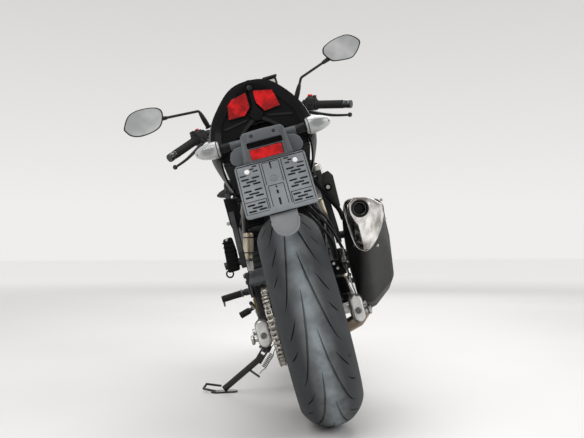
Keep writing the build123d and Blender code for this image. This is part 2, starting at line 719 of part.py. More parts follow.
with BuildPart() as intake:
    for x in (-117, -42, 42, 117):
        throat = Plane(CYLINDERS.location * Location((x, -HEAD_LENGTH / 2, HEAD_BASE + 50), (90, 0, 0)))
        with BuildSketch(throat) as ring:
            Circle(23)
        extrude(ring.sketch, amount=62)
    box = [
        (CYLINDERS.location * Location((0, -HEAD_LENGTH / 2 - 61, rise))).position for rise in (HEAD_BASE + 16, HEAD_TOP + 6)
    ]
    side_plate(
        [(box[0].Y, box[0].Z), (box[1].Y, box[1].Z), (800, 768), (650, 758), (610, 700), (664, 646)],
        -130,
        130,
        corner=6,
    )
intake.part.label = "intake"

with BuildPart() as radiator:
    core_plane = Plane(origin=(0, 1090, 585), x_dir=(1, 0, 0), z_dir=(0, 1, 0.2))
    with BuildSketch(core_plane) as core:
        Rectangle(320, 262)
        with GridLocations(64, 22, 5, 11):
            Rectangle(56, 14, mode=Mode.SUBTRACT)
    extrude(core.sketch, amount=24)
    with BuildSketch(core_plane.offset(6)) as sheet:
        Rectangle(318, 260)
    extrude(sheet.sketch, amount=12)
    for side in (-1, 1):
        with BuildSketch(core_plane.offset(-6)) as tank_end:
            with Locations((side * 168, 0)):
                RectangleRounded(24, 270, 8)
        extrude(tank_end.sketch, amount=36)
radiator.part.label = "radiator"

HEADER_RADIUS = 18
with BuildPart() as exhaust_pipes:
    for x in (-126, -44, 44, 126):
        welded_pipe(
            [
                (x, 1006, 560),
                (x, 1034, 548),
                (x, 1050, 520),
                (x * 0.96, 1056, 420),
                (x * 0.8, 1040, 270),
                (x * 0.7, 1012, 216),
                (x * 0.6, 960, 192),
                (x * 0.5, 820, 186),
            ],
            HEADER_RADIUS,
        )
    beam([((0, 830, 186), (0, -1, 0), 118, 50), ((20, 700, 188), (0.2, -1, 0), 92, 50)])
    welded_pipe(
        [
            (20, 702, 190),
            (50, 620, 190),
            (110, 540, 198),
            (168, 476, 222),
            (198, 420, 260),
            (209, 370, 304),
            (211, 318, 352),
        ],
        24,
    )
    with BuildSketch(cross_bike(321)) as cut:
        with Locations((211, 350)):
            Rectangle(160, 160)
    extrude(cut.sketch, amount=60, mode=Mode.SUBTRACT)
exhaust_pipes.part.label = "exhaust_pipes"

# Silencer ---------------------------------------------------------------------------------
OUTLET = (201, -222, 579)


def rounded_hull(plane, corners):
    """A face round circles given as (x, z, radius)."""
    with BuildSketch(plane) as face:
        for x, z, radius in corners:
            with Locations((x, z)):
                Circle(radius)
        make_hull()
    return face.sketch


CAP_FRONT = -138
CAP_REAR = -214
SILENCER_WALL = 3
silencer_stations = [
    (320, [(206, 366, 30), (230, 358, 30), (228, 342, 30), (208, 332, 30)]),
    (262, [(200, 404, 30), (262, 384, 36), (252, 340, 34), (208, 306, 34)]),
    (170, [(194, 458, 29), (262, 425, 38), (256, 374, 37), (200, 332, 35)]),
    (60, [(190, 522, 27), (262, 488, 33), (252, 440, 36), (196, 386, 29)]),
    (-40, [(188, 566, 25), (252, 534, 31), (240, 484, 32), (193, 436, 26)]),
    (CAP_FRONT, [(188, 590, 23), (247, 570, 27), (224, 514, 26), (193, 488, 22)]),
]
cap_stations = [
    silencer_stations[-1],
    (-180, [(190, 592, 20), (236, 575, 23), (216, 534, 22), (193, 516, 19)]),
    (CAP_REAR, [(190, 593, 17), (212, 589, 17), (207, 571, 18), (194, 563, 18)]),
]


def lining(stations, wall):
    """The same stations with every corner drawn in by a wall."""
    return [(y, [(x, z, radius - wall) for x, z, radius in corners]) for y, corners in stations]


def hull_loft(stations, mode=Mode.ADD):
    """A skin through rounded hulls across the bike."""
    loft([rounded_hull(cross_bike(y), corners) for y, corners in stations], ruled=True, mode=mode)


with BuildPart() as muffler:
    hull_loft(silencer_stations)
    hull_loft(lining(silencer_stations[1:], SILENCER_WALL), Mode.SUBTRACT)
muffler.part.label = "muffler"

with BuildPart() as muffler_cap:
    hull_loft(cap_stations)
    hull_loft(lining(cap_stations[:2], SILENCER_WALL), Mode.SUBTRACT)
    rod((OUTLET[0], CAP_REAR + 8, OUTLET[2]), OUTLET, 25)
    rod(OUTLET, (OUTLET[0], OUTLET[1] + 60, OUTLET[2]), 19, Mode.SUBTRACT)
muffler_cap.part.label = "muffler_cap"

# Tank, seats and bodywork -----------------------------------------------------------------
with BuildPart() as fuel_tank:
    shell(
        [
            (1058, both_sides([(0, 872), (56, 872), (80, 884), (74, 900), (40, 908), (0, 910)])),
            (1000, both_sides([(0, 830), (110, 832), (156, 856), (156, 900), (112, 948), (50, 962), (0, 965)])),
            (900, both_sides([(0, 812), (108, 814), (160, 842), (162, 906), (122, 980), (52, 1002), (0, 1006)])),
            (800, both_sides([(0, 800), (96, 800), (138, 828), (142, 894), (108, 968), (48, 992), (0, 996)])),
            (640, both_sides([(0, 776), (66, 776), (86, 792), (86, 838), (68, 872), (30, 884), (0, 886)])),
        ]
    )
fuel_tank.part.label = "fuel_tank"

with BuildPart() as fuel_cap:
    with BuildSketch(Plane(origin=(0, 846, 996), x_dir=(1, 0, 0), z_dir=(0, -0.1, 1))) as lid:
        Circle(36)
    extrude(lid.sketch, amount=12, taper=12)
    add(fuel_tank.part, mode=Mode.SUBTRACT)
fuel_cap.part.label = "fuel_cap"

with BuildPart() as tank_shrouds:
    for side in (-1, 1):
        side_plate(
            [(870, 700), (1050, 650), (1136, 660), (1148, 700), (1060, 782), (960, 842), (884, 806)],
            side * 187 - 3,
            side * 187 + 3,
            corner=8,
        )
        rod((side * 172, 900, 745), (side * 184, 900, 745), 10)
tank_shrouds.part.label = "tank_shrouds"

with BuildPart() as rider_seat:
    shell(
        [
            (618, both_sides([(0, 790), (60, 790), (78, 800), (70, 832), (0, 840)])),
            (470, both_sides([(0, 776), (90, 776), (118, 786), (104, 816), (0, 822)])),
            (320, both_sides([(0, 790), (100, 790), (136, 802), (120, 832), (0, 838)])),
            (250, both_sides([(0, 830), (90, 830), (110, 850), (96, 884), (0, 896)])),
        ]
    )
rider_seat.part.label = "rider_seat"

with BuildPart() as pillion_seat:
    shell(
        [
            (236, both_sides([(0, 886), (70, 886), (96, 898), (84, 924), (0, 934)])),
            (80, both_sides([(0, 920), (80, 920), (108, 930), (96, 952), (0, 962)])),
            (-70, both_sides([(0, 942), (50, 942), (74, 948), (62, 968), (0, 978)])),
        ]
    )
pillion_seat.part.label = "pillion_seat"

def tail_shell(stations, mode=Mode.ADD):
    """A skin through half outlines that are mirrored."""
    shell([(y, both_sides(half)) for y, half in stations], mode)


TAIL_REAR = -236
with BuildPart() as tail_cowl:
    tail_shell(
        [
            (TAIL_REAR, [(122, 800), (137, 828), (121, 890), (83, 942), (46, 972), (0, 981)]),
            (-110, [(130, 782), (151, 826), (139, 892), (101, 946), (55, 974), (0, 983)]),
            (60, [(132, 758), (158, 816), (152, 874), (116, 922), (60, 930), (0, 930)]),
            (300, [(122, 730), (143, 758), (157, 813), (157, 850), (126, 864), (0, 864)]),
        ]
    )
    tail_shell(
        [
            (TAIL_REAR - 1, [(112, 770), (129, 829), (114, 887), (78, 935), (44, 965), (0, 974)]),
            (60, [(122, 730), (150, 817), (144, 870), (112, 915), (58, 923), (0, 923)]),
            (301, [(112, 700), (135, 760), (150, 814), (150, 844), (124, 857), (0, 857)]),
        ],
        Mode.SUBTRACT,
    )
    add(pillion_seat.part, mode=Mode.SUBTRACT)
    add(rider_seat.part, mode=Mode.SUBTRACT)
tail_cowl.part.label = "tail_cowl"

PANEL_FACE = -226
REFLECTOR_SEAT = -340
with BuildPart() as tail_panel:
    with BuildSketch(cross_bike(-219)) as inset:
        with BuildLine():
            Polyline(*both_sides([(0, 866), (34, 862), (70, 838), (122, 836), (110, 885), (75, 931), (42, 961), (0, 969)]), close=True)
        make_face()
    extrude(inset.sketch, amount=7)
    with BuildSketch(cross_bike(PANEL_FACE)) as rib:
        with BuildLine():
            Polyline(*both_sides([(8, 870), (22, 888), (7, 915), (9, 952), (0, 966)]), close=True)
        make_face()
    extrude(rib.sketch, amount=9, taper=18)
tail_panel.part.label = "tail_panel"

with BuildPart() as rear_lenses:
    for side in (-1, 1):
        with BuildSketch(cross_bike(PANEL_FACE)) as lens:
            with BuildLine():
                Polyline((side * 13, 948), (side * 60, 936), (side * 65, 893), (side * 27, 895), (side * 12, 914), close=True)
            make_face()
        extrude(lens.sketch, amount=10, taper=25)
    with BuildSketch(cross_bike(REFLECTOR_SEAT)) as reflector:
        with Locations((0, 774)):
            Rectangle(80, 25)
    extrude(reflector.sketch, amount=8, taper=15)
rear_lenses.part.label = "rear_lenses"

# Rear mudguard, number plate bracket and signals ------------------------------------------
PLATE_TILT = degrees(atan2(59, 137))
PLATE_PLANE = Plane(
    origin=(0, -372, 686), x_dir=(1, 0, 0), z_dir=(0, -cos(radians(PLATE_TILT)), sin(radians(PLATE_TILT)))
)
PLATE_WIDTH = 182
PLATE_HEIGHT = 150
with BuildPart() as rear_fender:
    tail_shell(
        [
            (-345, [(0, 756), (63, 764), (57, 824), (48, 833), (0, 833)]),
            (-200, [(0, 752), (66, 760), (60, 834), (44, 848), (0, 850)]),
            (-90, [(0, 752), (58, 758), (50, 800), (0, 806)]),
        ]
    )
    with BuildSketch(cross_bike(-346)) as recess:
        with Locations((0, 799)):
            Rectangle(92, 17)
        with Locations((0, 774)):
            Rectangle(82, 27)
    extrude(recess.sketch, amount=-346 - REFLECTOR_SEAT, mode=Mode.SUBTRACT)
    with BuildSketch(cross_bike(-345)) as slot:
        with Locations((0, 799)):
            Rectangle(88, 15)
    extrude(slot.sketch, amount=-24, mode=Mode.SUBTRACT)
    with BuildSketch(cross_bike(-294)) as wings:
        with BuildLine():
            Polyline(*both_sides([(50, 764), (86, 764), (95, 776), (91, 796), (78, 806), (50, 808)]), close=True)
        make_face()
    extrude(wings.sketch, amount=9)
    with BuildSketch(PLATE_PLANE.offset(-14)) as spine:
        with Locations((0, 10)):
            RectangleRounded(90, 190, 10)
    extrude(spine.sketch, amount=10)
    with BuildSketch(PLATE_PLANE.offset(-14)) as tongue:
        with BuildLine():
            Polyline((-36, -60), (-36, -96), (-16, -142), (16, -142), (36, -96), (36, -60), close=True)
        make_face()
    extrude(tongue.sketch, amount=5)
    for side in (-1, 1):
        rod((side * 50, -262, 820), (side * 118, -262, 820), 11)
rear_fender.part.label = "rear_fender"

with BuildPart() as plate_bracket:
    with BuildSketch(PLATE_PLANE.offset(-4)) as board:
        RectangleRounded(PLATE_WIDTH, PLATE_HEIGHT, 8)
        with Locations((-62, 52), (62, 52)):
            Circle(3.3, mode=Mode.SUBTRACT)
    extrude(board.sketch, amount=4)
plate_bracket.part.label = "plate_bracket"

with BuildPart() as undertray:
    profile = [(-84, 775), (60, 740), (200, 704), (330, 650), (420, 584), (452, 520)]
    underside = [(y - 3, z - 5) for y, z in profile]
    side_plate(profile + underside[::-1], -58, 58)
undertray.part.label = "undertray"

with BuildPart() as side_covers:
    for side in (-1, 1):
        side_plate(
            [(306, 742), (440, 708), (536, 712), (554, 740), (470, 774), (330, 790)],
            side * 136 - 3,
            side * 136 + 3,
            corner=8,
        )
side_covers.part.label = "side_covers"

with BuildPart() as signal_lenses:
    for side in (-1, 1):
        signal_pod(side, 118, (-267, 820))
signal_lenses.part.label = "signal_lenses"

# Footrests and foot controls --------------------------------------------------------------
with BuildPart() as footpegs:
    for side in (-1, 1):
        with BuildSketch(Plane.YZ.offset(side * 166 - 6)) as hanger:
            with BuildLine():
                Polyline((424, 480), (498, 480), (498, 396), (470, 390), (424, 420), close=True)
            make_face()
            fillet(hanger.vertices(), 6)
            with Locations((462, 446), (484, 446)):
                Circle(7, mode=Mode.SUBTRACT)
        extrude(hanger.sketch, amount=12)
        rod((side * 172, 470, 415), (side * 190, 470, 415), 12)
        rod((side * 190, 470, 415), (side * 272, 462, 412), 10)
        near, far = sorted((side * PEG_PLATE[0], side * PEG_PLATE[1]))
        with BuildSketch(Plane.YZ.offset(near)) as long_plate:
            with BuildLine():
                Polyline((282, 748), (334, 742), (322, 690), (238, 540), (206, 500), (180, 506), (178, 552), (220, 640), close=True)
            make_face()
            fillet(long_plate.vertices(), 7)
            with BuildLine():
                Polyline((276, 700), (300, 690), (238, 582), (216, 586), close=True)
            make_face(mode=Mode.SUBTRACT)
        extrude(long_plate.sketch, amount=far - near)
        rod((side * PEG_PLATE[1], 205, 524), (side * 214, 205, 520), 12)
footpegs.part.label = "footpegs"

with BuildPart() as foot_controls:
    welded_pipe([(-180, 500, 372), (-180, 640, 346), (-236, 640, 330)], 7)
    rod((-196, 640, 341), (-236, 640, 330), 10)
    welded_pipe([(180, 500, 380), (180, 630, 352), (222, 630, 348)], 7)
    rod((190, 630, 351), (222, 630, 348), 11)
    rod((147, 446, 425), (147, 446, 492), 11)
foot_controls.part.label = "foot_controls"

with BuildPart() as rear_shock:
    rod((30, 470, 420), (30, 560, 610), 17)
    rod((30, 488, 458), (30, 545, 578), 31)
rear_shock.part.label = "rear_shock"

# Chain ------------------------------------------------------------------------------------
LINKS = 106
PLATE_HALF = 7.5
WAIST_HALF = 5.6
ROLLER = 5
CHAIN_HALF_WIDTH = 9


def chain_loop():
    """The closed line through the rollers: two arcs and two straight runs."""
    big, small = sprocket_radius(REAR_TEETH), sprocket_radius(FRONT_TEETH)
    rear, front = (0, REAR_RADIUS), COUNTERSHAFT
    run = hypot(front[0] - rear[0], front[1] - rear[1])
    slope = degrees(atan2(front[1] - rear[1], front[0] - rear[0]))
    wrap = degrees(acos((big - small) / run))
    with BuildLine() as loop:
        rear_arc = CenterArc(rear, big, slope + wrap, 360 - 2 * wrap)
        front_arc = CenterArc(front, small, slope - wrap, 2 * wrap)
        Line(rear_arc @ 1, front_arc @ 0)
        Line(front_arc @ 1, rear_arc @ 0)
    return loop.wire()


def beside(loop, share, reach):
    """A point reach outside the loop, share of the way round it."""
    ahead = loop % share
    point = loop @ share
    return (point.X + ahead.Y * reach, point.Y - ahead.X * reach)


roller_line = chain_loop()
link_outline = [
    beside(roller_line, (index + share) / LINKS, reach)
    for index in range(LINKS)
    for share, reach in ((0, PLATE_HALF), (0.5, WAIST_HALF))
]
with BuildPart() as chain:
    with BuildSketch(Plane.YZ.offset(CHAIN_LINE - CHAIN_HALF_WIDTH)) as outline:
        with BuildLine():
            Polyline(*link_outline, close=True)
        make_face()
        with BuildLine():
            Polyline(*[beside(roller_line, index / LINKS, -ROLLER) for index in range(LINKS)], close=True)
        make_face(mode=Mode.SUBTRACT)
    extrude(outline.sketch, amount=2 * CHAIN_HALF_WIDTH)
chain.part.label = "chain"

with BuildPart() as chain_guard:
    side_plate([(120, 440), (360, 478), (360, 486), (110, 450)], -150, -96)
    side_plate([(120, 410), (360, 448), (360, 486), (110, 450)], -150, -147)
chain_guard.part.label = "chain_guard"

# Rear brake -------------------------------------------------------------------------------
with BuildPart() as rear_caliper:
    side_plate([(34, 236), (100, 246), (108, 300), (62, 316), (34, 290)], 48, 86, corner=6)
    rod((HUB_HALF - 1, 0, REAR_RADIUS), (HUB_HALF + 6, 0, REAR_RADIUS), 124, Mode.SUBTRACT)
    side_plate([(-22, 296), (100, 280), (112, 318), (20, 342), (-22, 336)], 86, 96)
    rod((80, 0, REAR_RADIUS), (100, 0, REAR_RADIUS), 18, Mode.SUBTRACT)
rear_caliper.part.label = "rear_caliper"

with BuildPart() as rear_brake_hose:
    pipe([(91, 80, 331), (94, 130, 430), (118, 270, 520), (136, 380, 580), (147, 446, 590), (147, 446, 492.5)], 40, 4)
rear_brake_hose.part.label = "rear_brake_hose"

# Side stand -------------------------------------------------------------------------------
STAND_FOLD = 96
pivot_at_rest = (rest * Location(STAND_PIVOT)).position
FOOT_OUT = 148
FOOT_AHEAD = 26
foot_centre = (pivot_at_rest.X - FOOT_OUT, pivot_at_rest.Y + FOOT_AHEAD, 0)
FOOT_PLANE = Plane(rest.inverse() * Location(foot_centre))  # on the floor, seen from the bike frame


def stand_point(ahead, down, out=0):
    """Bike frame point beside the stand's pivot: down runs along the leg, out along the bolt."""
    return tuple(STAND_PLANE.from_local_coords(Vector(ahead, down, out)))


def foot_point(x, y, z):
    return tuple(FOOT_PLANE.from_local_coords(Vector(x, y, z)))


with BuildPart() as side_stand:
    rod(stand_point(0, 0, -STAND_LUG - 12), stand_point(0, 0, STAND_LUG + 10), STAND_BOLT - FIT)
    for cheek in (-STAND_LUG - 7, STAND_LUG + 1):
        with BuildSketch(STAND_PLANE.offset(cheek)) as ear:
            Circle(16)
            with Locations((4, 42)):
                Circle(13)
            make_hull()
        extrude(ear.sketch, amount=6)
    with BuildSketch(STAND_PLANE.offset(-STAND_LUG - 7)) as bridge:
        with Locations((4, 42)):
            Rectangle(24, 30)
    extrude(bridge.sketch, amount=2 * STAND_LUG + 14)
    rod(stand_point(4, 44), foot_point(0, 0, 12), 11)
    with BuildSketch(FOOT_PLANE) as foot:
        SlotOverall(96, 42, rotation=15)
    extrude(foot.sketch, amount=6)
    welded_pipe([foot_point(-30, -6, 5), foot_point(-74, 6, 12), foot_point(-66, 34, 24), foot_point(-12, 6, 22)], 4)
    rod(stand_point(8, 96, 8), stand_point(-14, 96, -30), 4)
    with BuildSketch(STAND_PLANE.offset(-STAND_LUG - 10)) as spring_link:
        Circle(11)
        with Locations((-28, -22)):
            Circle(7)
        make_hull()
    extrude(spring_link.sketch, amount=2.5)
side_stand.part.label = "side_stand"

SPRING_COILS = 9
SPRING_LENGTH = 92
with BuildPart() as stand_spring:
    spring_top = Vector(*stand_point(-28, -12, -28))
    spring_bottom = Vector(*stand_point(-12, 84, -26))
    spring_plane = Plane(origin=spring_top, x_dir=STAND_AXIS, z_dir=spring_bottom - spring_top)
    coil_step = SPRING_LENGTH / (2 * SPRING_COILS)
    coil_edge = [(9 - 2.5 * (index % 2), index * coil_step) for index in range(2 * SPRING_COILS + 1)]
    with BuildSketch(Plane(origin=spring_top, x_dir=spring_plane.x_dir, z_dir=-spring_plane.y_dir)) as section:
        with BuildLine():
            Polyline((0, 0), *coil_edge, (0, SPRING_LENGTH), close=True)
        make_face()
    revolve(section.sketch, axis=Axis(spring_top, spring_plane.z_dir))
stand_spring.part.label = "stand_spring"

# Rest pose --------------------------------------------------------------------------------
BODIES = {
    "chassis": [
        frame, swingarm, swingarm_fittings, rear_axle, engine_block, engine_covers, radiator,
        intake, exhaust_pipes, muffler, muffler_cap, fuel_tank, fuel_cap, tank_shrouds, rider_seat,
        pillion_seat, tail_cowl, tail_panel, rear_lenses, rear_fender, plate_bracket, undertray,
        side_covers, signal_lenses, footpegs, foot_controls, rear_shock, chain, chain_guard,
        rear_caliper, rear_brake_hose,
    ],
    "steering": [
        triple_clamps, fork_tubes, fork_stanchions, fork_feet, front_axle, front_calipers,
        front_mudguard, handlebar, grips, switchgear, levers, mirrors, mirror_glasses,
        headlight, headlight_lens, instrument, front_signals,
    ],
    "front_wheel": [front_tyre, front_rim, front_discs],
    "rear_wheel": [rear_tyre, rear_rim, rear_disc, rear_sprocket],
    "side_stand": [side_stand, stand_spring],
}
placing = {body: rest for body in BODIES}
placing["steering"] = placing["front_wheel"] = rest * steer_turn
standing = {
    body: [piece.part.moved(placing[body]) for piece in pieces] for body, pieces in BODIES.items()
}
bounds = Compound(children=[part for parts in standing.values() for part in parts]).bounding_box()
ORIGIN = Location((-bounds.center().X, -bounds.center().Y, -bounds.min.Z))
for body, pieces in BODIES.items():
    for piece in pieces:
        placed = piece.part.moved(ORIGIN * placing[body])
        placed.label = piece.part.label
        export_step(placed, f"parts/{placed.label}.step")
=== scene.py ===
"""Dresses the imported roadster: finishes, lamps, tread, chain, controls and the studio round it."""

import json
from math import acos, asin, atan2, cos, hypot, pi, radians, sin, tau

import bmesh
import bpy
from mathutils import Matrix, Vector


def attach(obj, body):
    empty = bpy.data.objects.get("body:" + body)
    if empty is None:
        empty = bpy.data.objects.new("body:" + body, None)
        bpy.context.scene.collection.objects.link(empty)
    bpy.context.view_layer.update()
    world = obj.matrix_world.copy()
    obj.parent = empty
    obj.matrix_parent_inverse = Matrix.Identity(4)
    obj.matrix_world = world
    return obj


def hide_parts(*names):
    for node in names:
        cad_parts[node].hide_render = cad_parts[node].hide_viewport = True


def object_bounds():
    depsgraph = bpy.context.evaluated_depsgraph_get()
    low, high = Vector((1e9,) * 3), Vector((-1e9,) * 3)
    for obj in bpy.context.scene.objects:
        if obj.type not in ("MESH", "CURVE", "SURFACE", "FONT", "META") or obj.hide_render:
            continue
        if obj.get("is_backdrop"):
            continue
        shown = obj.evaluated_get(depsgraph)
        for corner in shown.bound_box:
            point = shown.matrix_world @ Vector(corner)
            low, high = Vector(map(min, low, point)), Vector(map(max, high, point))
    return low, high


bl_info = {
    "name": "Roadster Dresser",
    "version": (1, 0, 0),
    "blender": (4, 5, 0),
    "location": "View3D > Sidebar > Roadster",
    "description": "Models and paints the visible pieces of a naked roadster round its CAD frame",
    "category": "Object",
}

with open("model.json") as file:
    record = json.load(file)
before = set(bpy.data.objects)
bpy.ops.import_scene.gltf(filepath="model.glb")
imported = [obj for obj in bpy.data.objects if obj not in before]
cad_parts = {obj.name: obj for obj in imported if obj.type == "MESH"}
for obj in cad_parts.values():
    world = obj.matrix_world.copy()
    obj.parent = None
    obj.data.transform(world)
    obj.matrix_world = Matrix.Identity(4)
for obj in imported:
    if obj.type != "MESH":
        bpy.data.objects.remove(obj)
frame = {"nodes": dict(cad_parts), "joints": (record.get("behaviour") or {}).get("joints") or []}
CAD_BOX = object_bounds()
NODES = frame["nodes"]

# Places on the bike -----------------------------------------------------------------------
# Pieces are modelled upright and straight ahead in the bike frame, in metres: X to the
# rider's right, Y forward from the rear axle, Z up. Their place in the row comes from joints.
RAKE = radians(25.3)
REAR_AXLE = Vector((0, 0, 0.315))
FRONT_AXLE = Vector((0, 1.455, 0.3))


def joint(name):
    """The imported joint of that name."""
    return next(j for j in frame["joints"] if j["name"] == name)


def standing(wheel_joint, axle):
    """Bike frame to row frame, from a wheel's axle and the steering axis."""
    across = Vector(joint(wheel_joint)["axis"]).normalized()
    stem = Vector(joint("steering_turn")["axis"]).normalized()
    rise = stem.cross(across).normalized()
    ahead = rise * cos(RAKE) - stem * sin(RAKE)
    up = rise * sin(RAKE) + stem * cos(RAKE)
    turn = Matrix((across, ahead, up)).transposed()
    place = Vector(joint(wheel_joint)["pos_m"]) - turn @ axle
    return Matrix.Translation(place) @ turn.to_4x4()


BIKE = standing("rear_wheel_spin", REAR_AXLE)
FORK = standing("front_wheel_spin", FRONT_AXLE)
PLACES = {
    "chassis": BIKE,
    "rear_wheel": BIKE,
    "side_stand": BIKE,
    "steering": FORK,
    "front_wheel": FORK,
}


# What a user would change -----------------------------------------------------------------
def colour(name, description, default):
    """A colour property."""
    return bpy.props.FloatVectorProperty(
        name=name, description=description, subtype="COLOR", size=3, min=0, max=1, default=default
    )


def length(name, description, default):
    """A length property in metres."""
    limits = {"unit": "LENGTH", "min": 0.0001, "max": 3, "precision": 4}
    return bpy.props.FloatProperty(name=name, description=description, default=default, **limits)


class RoadsterColours(bpy.types.PropertyGroup):
    """Paint and trim colours."""

    bodywork: colour("Bodywork", "Gloss paint of tank, tail and mudguard", (0.006, 0.006, 0.0065))
    shell: colour("Dark plastic", "Matt plastic behind the bodywork", (0.0065, 0.0068, 0.007))
    fender: colour("Grey plastic", "Mudguard, plate bracket and chain guard", (0.095, 0.103, 0.11))
    bracket: colour("Bracket grey", "Number plate bracket", (0.17, 0.185, 0.195))
    frame_paint: colour("Frame paint", "Frame, swingarm and stand", (0.011, 0.011, 0.012))
    rubber: colour("Tyre rubber", "Tread and sidewalls", (0.036, 0.04, 0.043))
    grip: colour("Grip rubber", "Handlebar grips and pegs", (0.014, 0.014, 0.014))
    bronze: colour("Engine covers", "Bronze paint of the engine covers", (0.2, 0.15, 0.08))
    silver: colour("Bright alloy", "Swingarm end caps and spools", (0.62, 0.62, 0.6))
    steel: colour("Steel", "Chain, discs, axles and bolts", (0.5, 0.49, 0.47))
    silencer: colour("Silencer", "Matt coat of the silencer", (0.024, 0.025, 0.022))
    lens_red: colour("Red lens", "Tail lamps and reflector", (0.72, 0.006, 0.008))
    vinyl: colour("Seat vinyl", "Seat covers", (0.02, 0.02, 0.021))
    floor: colour("Floor", "Studio floor and wall", (0.74, 0.73, 0.72))


class RoadsterSizes(bpy.types.PropertyGroup):
    """Sizes of the modelled trim."""

    groove_depth: length("Tread depth", "Depth of the tread grooves", 0.005)


# Finishes ---------------------------------------------------------------------------------
class Wire:
    """A shader socket that takes part in arithmetic."""

    def __init__(self, finish, socket):
        self.finish = finish
        self.socket = socket

    def __add__(self, other):
        return self.finish.maths("ADD", self, other)

    def __radd__(self, other):
        return self.finish.maths("ADD", self, other)

    def __sub__(self, other):
        return self.finish.maths("SUBTRACT", self, other)

    def __mul__(self, other):
        return self.finish.maths("MULTIPLY", self, other)


class Finish:
    """A procedural material in the making."""

    def __init__(self, name, base, roughness, metallic=0.0, coat=0.0, specular=0.5):
        self.material = bpy.data.materials.new(name)
        self.material.use_nodes = True
        self.material.diffuse_color = (*base, 1)
        self.tree = self.material.node_tree
        self.shader = self.tree.nodes["Principled BSDF"]
        self.place = None
        self.set("Base Color", (*base, 1))
        self.set("Roughness", roughness)
        self.set("Metallic", metallic)
        self.set("Coat Weight", coat)
        self.set("Specular IOR Level", specular)

    def set(self, socket, value):
        """Feeds one of the shader's sockets."""
        self.feed(self.shader, {socket: value})

    def feed(self, node, inputs):
        """Sets or links a node's sockets."""
        for key, value in inputs.items():
            if isinstance(value, Wire):
                self.tree.links.new(value.socket, node.inputs[key])
            else:
                node.inputs[key].default_value = value

    def node(self, kind, settings=None, inputs=None, output=0):
        """Any node: its settings first, then its sockets."""
        made = self.tree.nodes.new(kind)
        for key, value in (settings or {}).items():
            if key == "stops":
                ramp = made.color_ramp
                while len(ramp.elements) > 1:
                    ramp.elements.remove(ramp.elements[-1])
                ramp.elements[0].position, ramp.elements[0].color = value[0][0], (*value[0][1], 1)
                for position, tint in value[1:]:
                    ramp.elements.new(position).color = (*tint, 1)
            else:
                setattr(made, key, value)
        self.feed(made, inputs or {})
        return Wire(self, made.outputs[output])

    def maths(self, operation, *values):
        """One Math node."""
        return self.node("ShaderNodeMath", {"operation": operation}, dict(enumerate(values)))

    def where(self):
        """Object coordinates."""
        if self.place is None:
            self.place = self.node("ShaderNodeTexCoord", output="Object")
        return self.place

    def local(self, matrix):
        """Object coordinates seen from another frame."""
        turn = matrix.to_euler()
        spot = matrix.to_translation()
        return self.node(
            "ShaderNodeMapping",
            {"vector_type": "TEXTURE"},
            {"Vector": self.where(), "Location": spot, "Rotation": turn},
        )

    def parts(self, vector):
        """X, Y and Z of a vector."""
        first = self.node("ShaderNodeSeparateXYZ", inputs={"Vector": vector})
        return [Wire(self, first.socket.node.outputs[index]) for index in range(3)]

    def noise(self, scale, detail=3.0, roughness=0.55, vector=None, stretch=None):
        """Noise from 0 to 1."""
        vector = vector or self.where()
        if stretch:
            vector = self.node("ShaderNodeMapping", inputs={"Vector": vector, "Scale": stretch})
        return self.node(
            "ShaderNodeTexNoise",
            inputs={"Vector": vector, "Scale": scale, "Detail": detail, "Roughness": roughness},
        )

    def spread(self, value, low, high):
        """A 0 to 1 value spread between two numbers."""
        return self.node(
            "ShaderNodeMapRange", inputs={"Value": value, "To Min": low, "To Max": high}
        )

    def step(self, value, start, end):
        """0 before start and 1 after end, with a soft edge."""
        return self.node(
            "ShaderNodeMapRange",
            {"interpolation_type": "SMOOTHSTEP"},
            {"Value": value, "From Min": start, "From Max": end},
        )

    def mix(self, factor, first, second):
        """Two colours blended."""
        first = first if isinstance(first, Wire) else (*first, 1)
        second = second if isinstance(second, Wire) else (*second, 1)
        return self.node(
            "ShaderNodeMix", {"data_type": "RGBA"}, {
                "Factor": factor, "A": first, "B": second
            }, output=2
        )

    def bump(self, height, strength, distance):
        """Bump from a height."""
        inputs = {"Height": height, "Strength": strength, "Distance": distance}
        self.set("Normal", self.node("ShaderNodeBump", inputs=inputs))

    def haze_sheen_and_shade(self, tint, low, high):
        """Paint: painted shade on the flanks, a top haze part polishing and part painted sheen."""
        across = self.parts(self.local(BIKE))[0]
        # Painted shade: the flanks are darker than the top.
        flank = self.step(self.maths("ABSOLUTE", across), 0.115, 0.175)
        haze = self.noise(9, 4, stretch=(1, 0.35, 1.6))
        # The lighter haze on top is partly polishing haze and partly a painted sheen.
        light = self.mix(self.step(haze, 0.42, 0.62), shade(tint, 1.6), shade(tint, 5.5))
        self.set("Base Color", self.mix(flank, shade(tint, 0.7), light))
        self.set("Roughness", self.spread(self.noise(24, 3), low, high))
        self.bump(self.noise(260, 1), 0.02, 0.0004)


def shade(tint, factor):
    """A colour made darker or lighter."""
    return tuple(min(channel * factor, 1) for channel in tint)


def moulded(name, tint, roughness=0.5, grain=900, relief=0.25, coat=0.0, specular=0.28):
    """Moulded or powder coated surface: fine grain, faint dust and worn tone."""
    finish = Finish(name, tint, roughness, coat=coat, specular=specular)
    dust_and_highlight = finish.noise(9, 4)
    finish.set("Base Color", finish.mix(finish.step(dust_and_highlight, 0.42, 0.75), tint, shade(tint, 1.35)))
    finish.set("Roughness", finish.spread(finish.noise(40, 3), roughness - 0.08, roughness + 0.1))
    finish.bump(finish.noise(grain, 2), relief, 0.0004)
    return finish


def gloss_paint(name, tint):
    """Clear-coated paint: faint orange peel, painted flank shade, a top haze partly painted sheen.
    """
    finish = Finish(name, tint, 0.22, coat=0.8, specular=0.3)
    finish.set("Coat Roughness", 0.03)
    finish.haze_sheen_and_shade(tint, 0.16, 0.3)
    return finish


